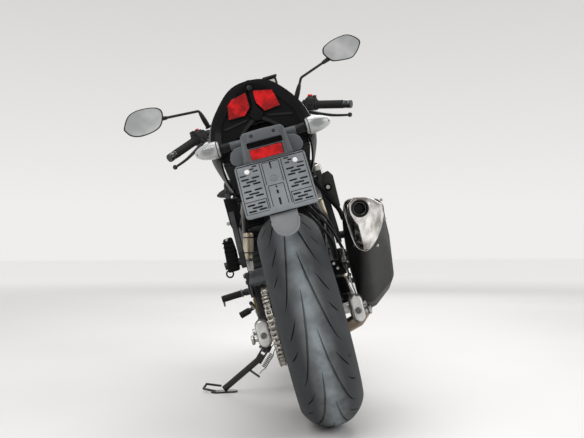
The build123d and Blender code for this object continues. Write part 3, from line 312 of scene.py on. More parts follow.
def deep_gloss(name, tint):
    """Gloss black that stays dark edge-on; painted flank shade, top haze partly painted sheen."""
    finish = Finish(name, tint, 0.2, metallic=0.4, coat=0.06, specular=0.0)
    finish.set("Coat Roughness", 0.05)
    finish.set("Specular Tint", (0.12, 0.12, 0.12, 1))
    finish.haze_sheen_and_shade(tint, 0.14, 0.28)
    return finish


def cast_metal(name, tint, roughness=0.42, metallic=1.0, grain=500, relief=0.18):
    """Cast or blasted metal with cloudy tone."""
    finish = Finish(name, tint, roughness, metallic=metallic)
    cloud = finish.noise(22, 5)
    finish.set("Base Color", finish.mix(
        finish.step(cloud, 0.3, 0.75), shade(tint, 0.78), shade(tint, 1.1)
    ))
    finish.set("Roughness", finish.spread(finish.noise(60, 4), roughness - 0.1, roughness + 0.14))
    finish.bump(finish.noise(grain, 3), relief, 0.0003)
    return finish


def turned_metal(name, tint, roughness=0.25, axis=0):
    """Machined metal: fine rings round an axis, and grey stains."""
    finish = Finish(name, tint, roughness, metallic=1.0)
    spread = [1.0, 1.0, 1.0]
    spread[axis] = 40.0
    rings = finish.noise(60, 2, stretch=tuple(spread))
    finish.set("Base Color", finish.mix(finish.noise(30, 4), shade(tint, 0.72), tint))
    finish.set("Roughness", finish.spread(rings, roughness - 0.08, roughness + 0.16))
    finish.bump(rings, 0.05, 0.0002)
    return finish


def chrome(name):
    """Polished plate with painted dark reflections and a slightly uneven skin."""
    finish = Finish(name, (0.86, 0.86, 0.85), 0.06, metallic=1.0)
    tone = finish.noise(18, 5, stretch=(1.6, 0.6, 0.8))
    # Dark patches in the base colour are painted reflections.
    painted_reflection_streak = finish.step(tone, 0.36, 0.62)
    finish.set("Base Color", finish.mix(painted_reflection_streak, (0.3, 0.28, 0.25), (0.9, 0.89, 0.87)))
    finish.set("Roughness", finish.spread(finish.noise(30, 3), 0.05, 0.2))
    finish.bump(finish.noise(45, 3), 0.12, 0.0012)
    return finish


def silvered(name):
    """Silvered glass: a painted cloudy reflection, painted dark low on the left pane."""
    finish = Finish(name, (0.8, 0.8, 0.8), 0.04, metallic=1.0)
    across, _, up = finish.parts(finish.local(FORK))
    # Painted reflection: the pane goes dark towards the bottom of the left mirror.
    low = finish.step(up + across * 0.05, 1.125, 1.12)
    left = finish.step(across, 0.0, -0.01)
    cloud = finish.noise(6, 3)
    # Painted reflection: the silver is clouded light and dark.
    silver = finish.mix(finish.step(cloud, 0.3, 0.7), (0.5, 0.52, 0.52), (0.92, 0.93, 0.93))
    finish.set("Base Color", finish.mix(low * left, silver, (0.012, 0.012, 0.013)))
    finish.set("Roughness", finish.spread(cloud, 0.02, 0.08))
    return finish


def lens(name, tint, ribs=420, relief=0.5):
    """Coloured lamp plastic over a ribbed reflector."""
    finish = Finish(name, tint, 0.12, coat=0.25, specular=0.2)
    finish.set("Coat Roughness", 0.05)
    finish.set("Coat IOR", 1.3)
    across, _, up = finish.parts(finish.where())
    weave = finish.maths("SINE", across * ribs) * finish.maths("SINE", up * ribs)
    glow = finish.noise(38, 3)
    tone = finish.mix(
        finish.step(glow + weave * 0.03, 0.35, 0.7), shade(tint, 0.35), shade(tint, 1.0)
    )
    finish.set("Base Color", tone)
    finish.set("Roughness", finish.spread(glow, 0.08, 0.2))
    finish.bump(weave, relief, 0.0006)
    return finish


# The modelling bench ----------------------------------------------------------------------
def clear_selection():
    """Nothing selected, in object mode."""
    if bpy.context.mode != "OBJECT":
        bpy.ops.object.mode_set(mode="OBJECT")
    bpy.ops.object.select_all(action="DESELECT")


def only(*objs):
    """Selects these objects and nothing else."""
    clear_selection()
    for obj in objs:
        obj.select_set(True)
    bpy.context.view_layer.objects.active = objs[0]


def edited(piece, *steps):
    """Runs (operator, settings) pairs in edit mode, each on the whole of a mesh."""
    only(piece)
    bpy.ops.object.mode_set(mode="EDIT")
    for operator, settings in steps:
        bpy.ops.mesh.select_all(action="SELECT")
        operator(**settings)
    bpy.ops.object.mode_set(mode="OBJECT")
    return piece


def merging(reach=1e-5):
    """The step that merges vertices nearer than a reach."""
    return bpy.ops.mesh.remove_doubles, {"threshold": reach}


def pushing(way):
    """The step that extrudes along a vector."""
    return bpy.ops.mesh.extrude_region_move, {"TRANSFORM_OT_translate": {"value": way}}


OUTWARD = (bpy.ops.mesh.normals_make_consistent, {"inside": False})


def settle(piece):
    """Moves an object's place, turn and size into its mesh."""
    only(piece)
    bpy.ops.object.transform_apply(location=True, rotation=True, scale=True)
    return piece


def facing(direction):
    """The turn that points a primitive's Z along a direction."""
    return Vector(direction).to_track_quat("Z", "Y").to_euler()


def drum(centre, along, radius, height, sides=24, top=None):
    """A closed cylinder or cone round the axis along."""
    clear_selection()
    bpy.ops.mesh.primitive_cone_add(
        vertices=sides,
        radius1=radius,
        radius2=radius if top is None else top,
        depth=height,
        location=centre,
        rotation=facing(along),
    )
    return settle(bpy.context.object)


def drum_between(start, end, radius, sides=24, top=None):
    """A closed cylinder or cone from start to end."""
    start, end = Vector(start), Vector(end)
    return drum((start + end) / 2, end - start, radius, (end - start).length, sides, top)


def block(centre, size, turn=None):
    """A box, turned by a matrix or left square."""
    clear_selection()
    bpy.ops.mesh.primitive_cube_add(size=1)
    piece = bpy.context.object
    place = Matrix.Translation(Vector(centre)) @ (turn.to_4x4() if turn else Matrix())
    piece.matrix_world = place @ Matrix.Diagonal((*size, 1))
    return settle(piece)


def ball(centre, size, rings, segments):
    """A ball stretched to a size."""
    clear_selection()
    bpy.ops.mesh.primitive_uv_sphere_add(
        segments=segments, ring_count=rings, radius=0.5, location=centre, scale=size
    )
    return settle(bpy.context.object)


def ring(centre, along, radius, thickness, major, minor):
    """A torus."""
    clear_selection()
    bpy.ops.mesh.primitive_torus_add(
        major_radius=radius,
        minor_radius=thickness,
        major_segments=major,
        minor_segments=minor,
        location=centre,
        rotation=facing(along),
    )
    return settle(bpy.context.object)


def outline(points):
    """One face with these corners."""
    clear_selection()
    bpy.ops.mesh.primitive_circle_add(vertices=len(points), fill_type="NGON")
    piece = bpy.context.object
    for vertex, point in zip(piece.data.vertices, points):
        vertex.co = point
    return piece


def slab(points, depth):
    """A face pushed along a vector into a closed plate."""
    return edited(outline(points), pushing(Vector(depth)), OUTWARD)


def curve_of(kind, points):
    """A fresh curve object with one spline of a kind through or along points."""
    clear_selection()
    bpy.ops.curve.primitive_nurbs_path_add()
    piece = bpy.context.object
    piece.data.splines.clear()
    line = piece.data.splines.new(kind)
    line.points.add(len(points) - 1)
    for spot, point in zip(line.points, points):
        spot.co = (*point, 1)
    return piece, line


def spun(points, centre, axis, steps):
    """A line of points spun a full turn round an axis and closed."""
    curve_of("POLY", points)
    bpy.ops.object.convert(target="MESH")
    turning = {"steps": steps, "angle": tau, "center": centre, "axis": axis}
    return edited(bpy.context.object, (bpy.ops.mesh.spin, turning), merging(), OUTWARD)


def turned(profile, centre, axis, steps):
    """A lathe piece from (along, radius) pairs round an axis through centre."""
    centre, axis = Vector(centre), Vector(axis).normalized()
    side = axis.orthogonal().normalized()
    points = [centre + axis * along + side * radius for along, radius in profile]
    return spun(points, centre, axis, steps)


def weld(piece, reach=1e-5):
    """Merges doubles and points faces outward."""
    return edited(piece, merging(reach), OUTWARD)


def tube(points, radius, sides=4, radii=None):
    """A round tube along a smooth line through control points."""
    piece, line = curve_of("NURBS", points)
    for spot, share in zip(line.points, radii or [1] * len(points)):
        spot.radius = share
    line.order_u = 3
    line.use_endpoint_u = True
    curve = piece.data
    curve.bevel_depth = radius
    curve.bevel_resolution = sides
    curve.resolution_u = 10
    curve.use_fill_caps = True
    only(piece)
    bpy.ops.object.convert(target="MESH")
    return weld(bpy.context.object)


def modified(piece, kind, **settings):
    """A modifier added and applied."""
    only(piece)
    modifier = piece.modifiers.new(kind.title(), kind)
    for key, value in settings.items():
        setattr(modifier, key, value)
    bpy.ops.object.modifier_apply(modifier=modifier.name)
    return piece


def eased(piece, width, segments=2, angle=30):
    """Edges sharper than an angle get a round."""
    limit = {"limit_method": "ANGLE", "angle_limit": radians(angle)}
    return modified(piece, "BEVEL", width=width, segments=segments, **limit)


def cut(piece, *tools):
    """Takes tools out of a piece, and removes them."""
    for tool in tools:
        modified(piece, "BOOLEAN", operation="DIFFERENCE", solver="EXACT", object=tool)
        bpy.data.objects.remove(tool)
    return piece


def joined(pieces):
    """Several meshes as one object."""
    only(*pieces)
    if len(pieces) > 1:
        bpy.ops.object.join()
    return bpy.context.view_layer.objects.active


def copied(piece, matrix):
    """A copy with its own mesh, moved by a matrix."""
    twin = piece.copy()
    twin.data = piece.data.copy()
    bpy.context.scene.collection.objects.link(twin)
    twin.data.transform(matrix)
    if matrix.determinant() < 0:
        twin.data.flip_normals()
    return twin


MIRROR = Matrix.Diagonal((-1, 1, 1, 1))


def mirrored(piece):
    """The piece and its mirror image across the bike, as one object."""
    return joined([piece, copied(piece, MIRROR)])


def finished(piece, name, body, finish, stands_for=(), angle=35):
    """Names, paints and stands a piece, or several joined; the finish is a key of FINISHES."""
    if isinstance(piece, (list, tuple)):
        piece = joined(piece)
    piece.data.transform(PLACES[body])
    piece.name = piece.data.name = name
    only(piece)
    bpy.ops.object.shade_smooth_by_angle(angle=radians(angle))
    piece.data.materials.append(FINISHES[finish].material)
    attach(piece, body)
    if stands_for:
        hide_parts(*stands_for)
    return piece


def mm(*values):
    """A point given in millimetres."""
    return Vector(values) / 1000


def hose(points, radius, sides=4, radii=None):
    """A tube along points in millimetres."""
    return tube([mm(*point) for point in points], radius, sides, radii)


def hex_bolt(spot, along, width, height):
    """A hexagon bolt head with a washer."""
    along = Vector(along).normalized()
    washer = drum(Vector(spot) + along * height * 0.12, along, width * 0.72, height * 0.24, 20)
    head = drum(Vector(spot) + along * height * 0.6, along, width * 0.56, height * 0.75, 6)
    return joined([eased(head, width * 0.05, 1), washer])


def socket_bolt(spot, along, width, height):
    """A round bolt head with a hexagon socket."""
    along = Vector(along).normalized()
    head = drum(Vector(spot) + along * height / 2, along, width / 2, height, 20)
    eased(head, width * 0.08, 1)
    socket = drum(Vector(spot) + along * height, along, width * 0.26, height, 6)
    return cut(head, socket)


def sheet_of(rows, closed=False, capped=False):
    """A skin of quads through rows of points, closed across each row and capped at both ends."""
    rows = [[*row, row[0]] if closed else list(row) for row in rows]
    clear_selection()
    bpy.ops.mesh.primitive_grid_add(x_subdivisions=len(rows[0]) - 1, y_subdivisions=len(rows) - 1)
    piece = bpy.context.object
    for vertex, point in zip(piece.data.vertices, [point for row in rows for point in row]):
        vertex.co = point
    if closed:
        weld(piece)
    if capped:
        edited(piece, (bpy.ops.mesh.fill_holes, {"sides": 0}), OUTWARD)
    return piece


def eased_between(a, b, c, d, steps):
    """Points on the spline from b towards c, which also heeds a and d."""
    line = []
    for step in range(steps):
        t = step / steps
        bend = (2 * a - 5 * b + 4 * c - d) * t * t
        line.append(0.5 * (2 * b + (c - a) * t + bend + (3 * b - a - 3 * c + d) * t * t * t))
    return line


def smooth_loop(points, steps=4):
    """A closed line of points rounded by a spline through them."""
    points = [Vector(point) for point in points]
    line = []
    for index in range(len(points)):
        four = (points[(index + shift) % len(points)] for shift in (-1, 0, 1, 2))
        line += eased_between(*four, steps)
    return line


def smooth_line(points, steps):
    """An open line of points rounded by a spline through them."""
    points = [Vector(point) for point in points]
    padded = [points[0] * 2 - points[1], *points, points[-1] * 2 - points[-2]]
    line = []
    for index in range(len(points) - 1):
        line += eased_between(*padded[index : index + 4], steps)
    return [*line, points[-1]]


def slot_plate(centre, width, tall, low, high):
    """A plate with round ends, tall and narrow, between two distances behind its centre."""
    points = []
    for start, rise in ((0, 1), (180, -1)):
        for index in range(11):
            angle = radians(start + 18 * index)
            x, z = width / 2 * cos(angle), width / 2 * sin(angle) + rise * (tall - width) / 2
            points.append(Vector(centre) + Vector((x, -low, z)))
    return slab(points, (0, low - high, 0))


# The roadster's finishes ------------------------------------------------------------------
FINISHES = {}


def tyre_rubber(name, tint, axle, place):
    """Rubber: dusty worn crown, painted highlight down its middle, darker shoulders, fine scuffs."""
    finish = Finish(name, tint, 0.62, specular=0.3)
    spot = finish.local(place @ Matrix.Translation(axle))
    across = finish.parts(spot)[0]
    cloud = finish.noise(16, 5, vector=spot)
    aside = finish.maths("ABSOLUTE", across)
    crown = finish.step(aside + cloud * 0.02, 0.062, 0.03)
    brown = tuple(t * 4.8 * w for t, w in zip(tint, (1.03, 1.0, 0.95)))
    worn = finish.mix(finish.step(cloud, 0.3, 0.7), shade(tint, 1.9), brown)
    # Painted highlight: a bright grey band down the middle of the crown.
    grey = tuple(t * 7.6 * w for t, w in zip(tint, (0.98, 1.0, 1.0)))
    dust_and_highlight = finish.mix(finish.step(cloud, 0.35, 0.65), shade(tint, 4.2), grey)
    worn = finish.mix(finish.step(aside + cloud * 0.02, 0.036, 0.012), worn, dust_and_highlight)
    dark = finish.mix(finish.step(cloud, 0.35, 0.8), shade(tint, 0.8), shade(tint, 1.35))
    finish.set("Base Color", finish.mix(crown, dark, worn))
    finish.set("Roughness", finish.spread(cloud, 0.5, 0.74))
    scuff = finish.noise(70, 4, vector=spot, stretch=(5, 1, 1))
    fine = finish.noise(900, 2, vector=spot)
    finish.bump(scuff * 0.6 + fine * 0.4, 0.3, 0.0005)
    return finish


def clear_lens(name):
    """Smoked clear lamp plastic over a bright ribbed shell."""
    finish = Finish(name, (0.62, 0.63, 0.63), 0.15, coat=1.0)
    finish.set("Coat Roughness", 0.03)
    across, _, up = finish.parts(finish.local(BIKE))
    ribs = finish.maths("SINE", across * 700) * finish.maths("SINE", up * 700)
    cloud = finish.noise(30, 3)
    finish.set("Base Color", finish.mix(
        finish.step(cloud, 0.35, 0.7), (0.36, 0.37, 0.37), (0.8, 0.81, 0.81)
    ))
    finish.set("Roughness", finish.spread(cloud, 0.08, 0.26))
    finish.bump(ribs, 0.3, 0.0005)
    return finish


def signal_lens(name):
    """Frosted clear lens: bright rim, darker reflector seen through the middle."""
    finish = Finish(name, (0.62, 0.63, 0.63), 0.16, coat=1.0)
    finish.set("Coat Roughness", 0.04)
    spot = finish.local(BIKE @ Matrix.Translation(mm(0, *SIGNAL)))
    across, _, up = finish.parts(spot)
    reach = (finish.maths("ABSOLUTE", across) - 0.146) * 40
    round_ = finish.maths("SQRT", reach * reach + (up * 66) * (up * 66))
    cloud = finish.noise(34, 4)
    middle = finish.step(round_ + cloud * 0.5, 1.3, 0.7)
    fluted = finish.maths("SINE", across * 1900) * 0.5 + 0.5
    tone = finish.mix(fluted * 0.5 + cloud * 0.5, (0.3, 0.31, 0.31), (0.55, 0.56, 0.56))
    finish.set("Base Color", finish.mix(middle, tone, (0.2, 0.21, 0.21)))
    finish.set("Roughness", finish.spread(cloud, 0.08, 0.3))
    finish.bump(fluted, 0.25, 0.0005)
    return finish


def silencer_coat(name, tint):
    """Matt black heat paint, greyer where it faces the light, and a darker strip at its outer edge.
    """
    finish = Finish(name, tint, 0.55, specular=0.25)
    across, along, _ = finish.parts(finish.local(BIKE))
    cloud = finish.noise(14, 4)
    facing_out = finish.step(across + cloud * 0.01, 0.196, 0.235)
    tone = finish.mix(facing_out, (0.003, 0.003, 0.003), (0.022, 0.023, 0.0195))
    edge = finish.maths("MINIMUM", 0.279 + (along + 0.138) * 0.1, 0.3)
    strip = finish.step(across - edge, -0.011, -0.0095)
    finish.set("Base Color", finish.mix(strip, tone, (0.0015, 0.0015, 0.0015)))
    finish.set("Roughness", finish.spread(cloud, 0.5, 0.65))
    finish.bump(finish.noise(500, 3), 0.2, 0.0003)
    return finish


def disc_steel(name, axle, place):
    """Brake disc: turned rings and grey stains."""
    finish = Finish(name, (0.42, 0.41, 0.4), 0.3, metallic=1.0)
    _, ahead, up = finish.parts(finish.local(place @ Matrix.Translation(axle)))
    radius = finish.maths("SQRT", ahead * ahead + up * up)
    grooves = finish.maths("SINE", radius * 5200)
    stain = finish.noise(34, 4)
    finish.set("Base Color", finish.mix(stain, (0.3, 0.29, 0.28), (0.52, 0.51, 0.5)))
    finish.set("Roughness", finish.spread(stain, 0.2, 0.42))
    finish.bump(grooves, 0.06, 0.0002)
    return finish


def seat_vinyl(name, tint):
    """Grained seat cover."""
    finish = Finish(name, tint, 0.55)
    grain = finish.node(
        "ShaderNodeTexVoronoi", {"feature": "DISTANCE_TO_EDGE"},
        {"Vector": finish.where(), "Scale": 520.0}
    )
    worn = finish.noise(11, 4)
    finish.set("Base Color", finish.mix(finish.step(worn, 0.35, 0.75), tint, shade(tint, 1.7)))
    finish.set("Roughness", finish.spread(worn, 0.44, 0.66))
    finish.bump(finish.step(grain, 0.0, 0.25), 0.4, 0.0003)
    return finish


def mix_finishes():
    """Mixes every finish once, from the colour properties."""
    tint = bpy.context.scene.roadster_colours
    rear = (REAR_AXLE, BIKE)
    front = (FRONT_AXLE, FORK)
    recipes = {
        "body_gloss": (gloss_paint, tint.bodywork),
        "dark_plastic": (moulded, tint.shell, 0.46, 700),
        "grey_plastic": (moulded, tint.fender, 0.55, 900, 0.35),
        "bracket_plastic": (moulded, tint.bracket, 0.52, 900, 0.3),
        "frame_coat": (moulded, tint.frame_paint, 0.36, 500, 0.12, 0.3),
        "rear_rubber": (tyre_rubber, tint.rubber, *rear),
        "front_rubber": (tyre_rubber, tint.rubber, *front),
        "grip_rubber": (moulded, tint.grip, 0.66, 400, 0.5),
        "hose_rubber": (moulded, tint.grip, 0.45, 600, 0.2),
        "black_alloy": (cast_metal, (0.03, 0.03, 0.031), 0.45, 0.6),
        "bronze_cover": (cast_metal, tint.bronze, 0.4, 0.75),
        "bright_alloy": (cast_metal, tint.silver, 0.3, 1.0, 500, 0.06),
        "steel": (turned_metal, tint.steel),
        "chain_steel": (cast_metal, (0.5, 0.47, 0.42), 0.34, 1.0, 300, 0.1),
        "pipe_steel": (cast_metal, (0.3, 0.24, 0.17), 0.3, 1.0, 200, 0.08),
        "chrome": (chrome,),
        "silencer_coat": (silencer_coat, tint.silencer),
        "red_lens": (lens, tint.lens_red),
        "clear_lens": (clear_lens,),
        "signal_lens": (signal_lens,),
        "rear_disc_steel": (disc_steel, *rear),
        "front_disc_steel": (disc_steel, *front),
        "seat_vinyl": (seat_vinyl, tint.vinyl),
        "tail_gloss": (deep_gloss, (0.02, 0.02, 0.021)),
        "deep_plastic": (moulded, (0.0035, 0.0035, 0.0037), 0.5, 600, 0.2, 0.0, 0.12),
        "olive_plastic": (moulded, (0.03, 0.031, 0.027), 0.55, 600, 0.25, 0.0, 0.1),
        "mottled_alloy": (cast_metal, (0.62, 0.6, 0.56), 0.3, 0.7, 260, 0.1),
        "champagne_alloy": (cast_metal, (0.5, 0.44, 0.34), 0.34, 0.9, 300, 0.1),
        "worn_plastic": (moulded, (0.2, 0.21, 0.215), 0.5, 900, 0.35),
        "smoked_lens": (lens, (0.05, 0.05, 0.052)),
        "seam_thread": (moulded, (0.03, 0.03, 0.03), 0.5, 500, 0.2),
        "white_plastic": (moulded, (0.75, 0.75, 0.74), 0.4, 500, 0.1),
        "red_plastic": (moulded, (0.6, 0.012, 0.012), 0.38, 500, 0.1),
        "mirror_glass": (silvered,),
        "mirror_shell": (moulded, (0.008, 0.008, 0.008), 0.4, 600, 0.1),
        "black_metal": (cast_metal, (0.006, 0.006, 0.006), 0.4, 0.3),
        "bolt_steel": (turned_metal, (0.16, 0.155, 0.15), 0.3),
        "radiator_core": (cast_metal, (0.05, 0.05, 0.05), 0.5, 0.8),
        "cup_plastic": (moulded, (0.45, 0.44, 0.38), 0.3, 400, 0.08, 0.5),
    }
    for name, (mix, *settings) in recipes.items():
        FINISHES[name] = mix(name, *settings)


# The CAD pieces that take each finish.
PAINT = {
    "frame_coat": "frame swingarm foot_controls handlebar side_stand",
    "bright_alloy": "swingarm_fittings",
    "steel": "rear_axle fuel_cap front_axle rear_sprocket stand_spring",
    "black_alloy": (
        "engine_block footpegs rear_shock rear_caliper triple_clamps fork_tubes fork_feet "
        "front_calipers levers front_rim rear_rim"
    ),
    "bronze_cover": "engine_covers",
    "dark_plastic": "intake undertray side_covers switchgear mirrors headlight instrument",
    "radiator_core": "radiator",
    "pipe_steel": "exhaust_pipes",
    "silencer_coat": "muffler",
    "chrome": "muffler_cap fork_stanchions",
    "body_gloss": "fuel_tank tail_cowl front_mudguard",
    "olive_plastic": "tank_shrouds",
    "seat_vinyl": "rider_seat pillion_seat",
    "deep_plastic": "tail_panel",
    "red_lens": "rear_lenses",
    "grey_plastic": "rear_fender chain_guard",
    "bracket_plastic": "plate_bracket",
    "clear_lens": "signal_lenses headlight_lens",
    "chain_steel": "chain",
    "hose_rubber": "rear_brake_hose",
    "grip_rubber": "grips",
    "mirror_glass": "mirror_glasses",
    "smoked_lens": "front_signals",
    "front_rubber": "front_tyre",
    "front_disc_steel": "front_discs",
    "rear_rubber": "rear_tyre",
    "rear_disc_steel": "rear_disc",
}
NODE_FINISH = {node: finish for finish, nodes in PAINT.items() for node in nodes.split()}


class PaintFrame(bpy.types.Operator):
    """Paints every CAD piece that stays"""

    bl_idname = "roadster.paint_frame"
    bl_label = "Paint CAD pieces"

    def execute(self, context):
        mix_finishes()
        for name, node in NODES.items():
            if name not in NODE_FINISH:
                raise RuntimeError(f"no finish for {name}")
            node.data.materials.clear()
            node.data.materials.append(FINISHES[NODE_FINISH[name]].material)
            only(node)
            bpy.ops.object.shade_smooth_by_angle(angle=radians(28))
        return {"FINISHED"}


# Studio lamps: name, place, size in metres and power in watts.
LAMPS = (
    ("key", (-2.2, -3.4, 4.4), 3.2, 120),
    ("fill", (3.6, -2.2, 2.6), 3.0, 60),
    ("top", (0.2, 0.6, 5.2), 4.0, 130),
    ("front", (1.0, 5.0, 3.2), 3.5, 70),
)
LAMPS_AIM = Vector((0, 0, 0.5))
CAMERA_FROM_AXLE = Vector((-0.0796, -2.3826, 0.2048))
CAMERA_TURNS = ((-0.7195, "Z"), (1.9696, "X"), (0.2158, "Y"), (90, "X"))
CAMERA_LENS = 50.4


class BuildStudio(bpy.types.Operator):
    """Lays the floor, hangs the lights and sets the camera"""

    bl_idname = "roadster.studio"
    bl_label = "Studio"

    def execute(self, context):
        tint = context.scene.roadster_colours.floor
        clear_selection()
        bpy.ops.mesh.primitive_plane_add(size=60, location=(0, 0, 0))
        ground = bpy.context.object
        ground.name = ground.data.name = "studio_floor"
        paving = Finish("studio_floor", tint, 0.5)
        grain = paving.noise(1.2, 5)
        paving.set("Base Color", paving.mix(grain, shade(tint, 0.94), shade(tint, 1.04)))
        paving.set("Roughness", paving.spread(grain, 0.42, 0.6))
        across, ahead, _ = paving.parts(paving.where())
        away = paving.maths("SQRT", across * across + ahead * ahead)
        # Painted light: the floor glows from 2.2 m outward, standing in for lamp light on the far
        # floor.
        glow = tuple(0.4 * value / max(tint) for value in tint)
        paving.set("Emission Color", paving.mix(paving.step(away, 2.2, 11), (0, 0, 0), glow))
        paving.set("Emission Strength", 1.0)
        ground.data.materials.append(paving.material)
        ground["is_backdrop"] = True
        self.sky(context)
        for name, spot, size, power in LAMPS:
            clear_selection()
            bpy.ops.object.light_add(type="AREA", location=spot)
            lamp = bpy.context.object
            lamp.name = lamp.data.name = f"studio_{name}"
            lamp.data.size = size
            lamp.data.energy = power
            aim = LAMPS_AIM - Vector(spot)
            lamp.rotation_euler = aim.to_track_quat("-Z", "Y").to_euler()
        self.camera(context)
        context.scene.view_settings.view_transform = "Standard"
        return {"FINISHED"}

    def sky(self, context):
        """A pale world, brightest at the horizon where it is seen, and softer as light."""
        world = bpy.data.worlds.new("studio")
        context.scene.world = world
        world.use_nodes = True
        nodes, links = world.node_tree.nodes, world.node_tree.links
        path = nodes.new("ShaderNodeLightPath").outputs
        seen = path["Is Camera Ray"]
        for name in ("Is Glossy Ray", "Is Transmission Ray"):
            either = nodes.new("ShaderNodeMath")
            either.operation = "MAXIMUM"
            links.new(seen, either.inputs[0])
            links.new(path[name], either.inputs[1])
            seen = either.outputs[0]
        place = nodes.new("ShaderNodeTexCoord")
        parts = nodes.new("ShaderNodeSeparateXYZ")
        links.new(place.outputs["Generated"], parts.inputs[0])
        rise = nodes.new("ShaderNodeMapRange")
        for key, value in (
            ("From Min", 0.05), ("From Max", 0.8), ("To Min", 0.86), ("To Max", 0.3)
        ):
            rise.inputs[key].default_value = value
        links.new(parts.outputs["Z"], rise.inputs["Value"])
        strength = nodes.new("ShaderNodeMix")
        strength.inputs["A"].default_value = 0.5
        links.new(seen, strength.inputs["Factor"])
        links.new(rise.outputs[0], strength.inputs["B"])
        background = nodes["Background"]
        background.inputs["Color"].default_value = (1, 0.99, 0.98, 1)
        links.new(strength.outputs["Result"], background.inputs["Strength"])

    def camera(self, context):
        """The camera behind the bike, a little left of it and above the axle."""
        clear_selection()
        bpy.ops.object.camera_add()
        camera = bpy.context.object
        camera.name = camera.data.name = "studio_camera"
        aim = Matrix()
        for angle, axis in CAMERA_TURNS:
            aim = aim @ Matrix.Rotation(radians(angle), 4, axis)
        axle = Vector(joint("rear_wheel_spin")["pos_m"])
        camera.matrix_world = Matrix.Translation(axle + CAMERA_FROM_AXLE) @ aim
        camera.data.lens = CAMERA_LENS
        camera.data.sensor_width = 36
        context.scene.camera = camera


# Tyres ------------------------------------------------------------------------------------
# Each side of the tread repeats one long groove and two short ones. A point is the angle
# round the wheel from the long groove's outer end and the angle across the crown, in degrees.
REAR_LONG = (
    (-49, 4.5), (-42, 6.6), (-35, 9.2), (-28, 13), (-21.5, 17), (-15, 21.5), (-9, 26.5), (-4, 32),
    (0, 39)
)
REAR_SHORT = (
    ((3.6, 23.5), (8.5, 31), (12, 37.5), (14.4, 43)),
    ((19.5, 33.5), (22, 39), (24, 44.5), (25.5, 50)),
)
FRONT_LONG = ((-30, 6), (-24, 10), (-18, 15), (-11, 23), (-5, 32), (0, 42))
FRONT_SHORT = (((4, 22), (8, 30), (12, 40)), ((17, 32), (20, 42), (23, 52)))
# Widths of the long and the short grooves, thickness of the tread band, radius of the beads.
LONG_WIDTH, SHORT_WIDTH, BAND, BEAD = 0.0062, 0.0044, 0.009, 0.216
# Repeats round the wheel, the grooves, and the tyre's radius, width, crown radius and rim width.
REAR_TYRE = (9, (REAR_LONG, REAR_SHORT), (0.315, 0.18, 0.097, 0.14))
FRONT_TYRE = (14, (FRONT_LONG, FRONT_SHORT), (0.3, 0.12, 0.062, 0.089))


def groove(line, width, depth, scale, crown):
    """A cutter along a line of the unrolled tread, pointed at both ends."""
    spots = [Vector((angle * scale, radians(across) * crown, 0)) for angle, across in line]
    left, right = [], []
    for index, spot in enumerate(spots):
        ahead = (spots[min(index + 1, len(spots) - 1)] - spots[max(index - 1, 0)]).normalized()
        share = index / (len(spots) - 1)
        half = width / 2 * max(0.12, min(1, 4.5 * share, 3.2 * (1 - share)))
        side = Vector((-ahead.y, ahead.x, 0)) * half
        left.append(spot + side)
        right.append(spot - side)
    lift = Vector((0, 0, 0.002))
    return slab([spot + lift for spot in left + right[::-1]], (0, 0, -depth - 0.002))


def tread_band(radius, width, crown, repeats, long_line, short_lines, depth):
    """One repeat of the tread modelled flat, cut, bent to the crown and copied round."""
    reach = asin(width / 2 / crown)
    turn = 360 / repeats
    scale = radians(1) * radius
    clear_selection()
    bpy.ops.mesh.primitive_grid_add(x_subdivisions=24, y_subdivisions=36, size=1)
    strip = bpy.context.object
    strip.data.transform(Matrix.Diagonal((turn * scale, 2 * reach * crown, 1, 1)))
    edited(strip, pushing((0, 0, -BAND)), OUTWARD)
    cutters = []
    for side in (-1, 1):
        shift = turn / 4 * side
        for line, wide in (
            (long_line, LONG_WIDTH), *((line, SHORT_WIDTH) for line in short_lines)
        ):
            for round_again in (-2, -1, 0, 1, 2):
                placed = [
                    (angle + shift + round_again * turn, side * across) for angle, across in line
                ]
                first, last = placed[0][0], placed[-1][0]
                if last > -turn / 2 - 3 and first < turn / 2 + 3:
                    cutters.append(groove(placed, wide, depth, scale, crown))
    cut(strip, joined(cutters))
    for vertex in strip.data.vertices:
        angle, tilt = vertex.co.x / radius, vertex.co.y / crown
        out = radius - crown + (crown + vertex.co.z) * cos(tilt)
        vertex.co = ((crown + vertex.co.z) * sin(tilt), -out * cos(angle), -out * sin(angle))
    edited(strip, OUTWARD)
    turned_round = [
        copied(strip, Matrix.Rotation(radians(turn * index), 4, "X"))
        for index in range(1, repeats)
    ]
    return weld(joined([strip, *turned_round]), 2e-5)


def carcass(radius, width, crown, rim_width):
    """Sidewalls with moulded ribs, down to the beads, closed under the tread."""
    reach = asin(width / 2 / crown)
    edge = (width / 2, radius - crown + crown * cos(reach))
    foot = (rim_width / 2 - 0.0004, BEAD + 0.0165)
    wall = []
    for index in range(9):
        share = index / 8
        x = edge[0] + (foot[0] - edge[0]) * share
        r = edge[1] + (foot[1] - edge[1]) * share
        swell = 0.0032 * sin(pi * share)
        rib = 0.0009 if index in (2, 5) else 0
        wall.append((x + swell + rib, r + swell * 0.6))
    under = [
        (
            (crown - 0.006) * sin(reach * share),
            radius - crown + (crown - 0.006) * cos(reach * share)
        )
        for share in (-0.97, -0.6, -0.3, 0, 0.3, 0.6, 0.97)
    ]
    left = [(-x, r) for x, r in wall]
    line = [
        (-foot[0], BEAD + 0.0004), *left[::-1], *under, *wall, (foot[0], BEAD + 0.0004),
        (-foot[0], BEAD + 0.0004)
    ]
    return spun([(x, 0, r) for x, r in line], (0, 0, 0), (1, 0, 0), steps=120)


def tyre(name, body, finish, stands_for, axle, repeats, lines, shape):
    """A whole tyre round an axle: grooved tread and ribbed sidewalls."""
    depth = bpy.context.scene.roadster_sizes.groove_depth
    piece = joined([tread_band(*shape[:3], repeats, *lines, depth), carcass(*shape)])
    piece.data.transform(Matrix.Translation(axle))
    finished(piece, name, body, finish, stands_for, angle=32)


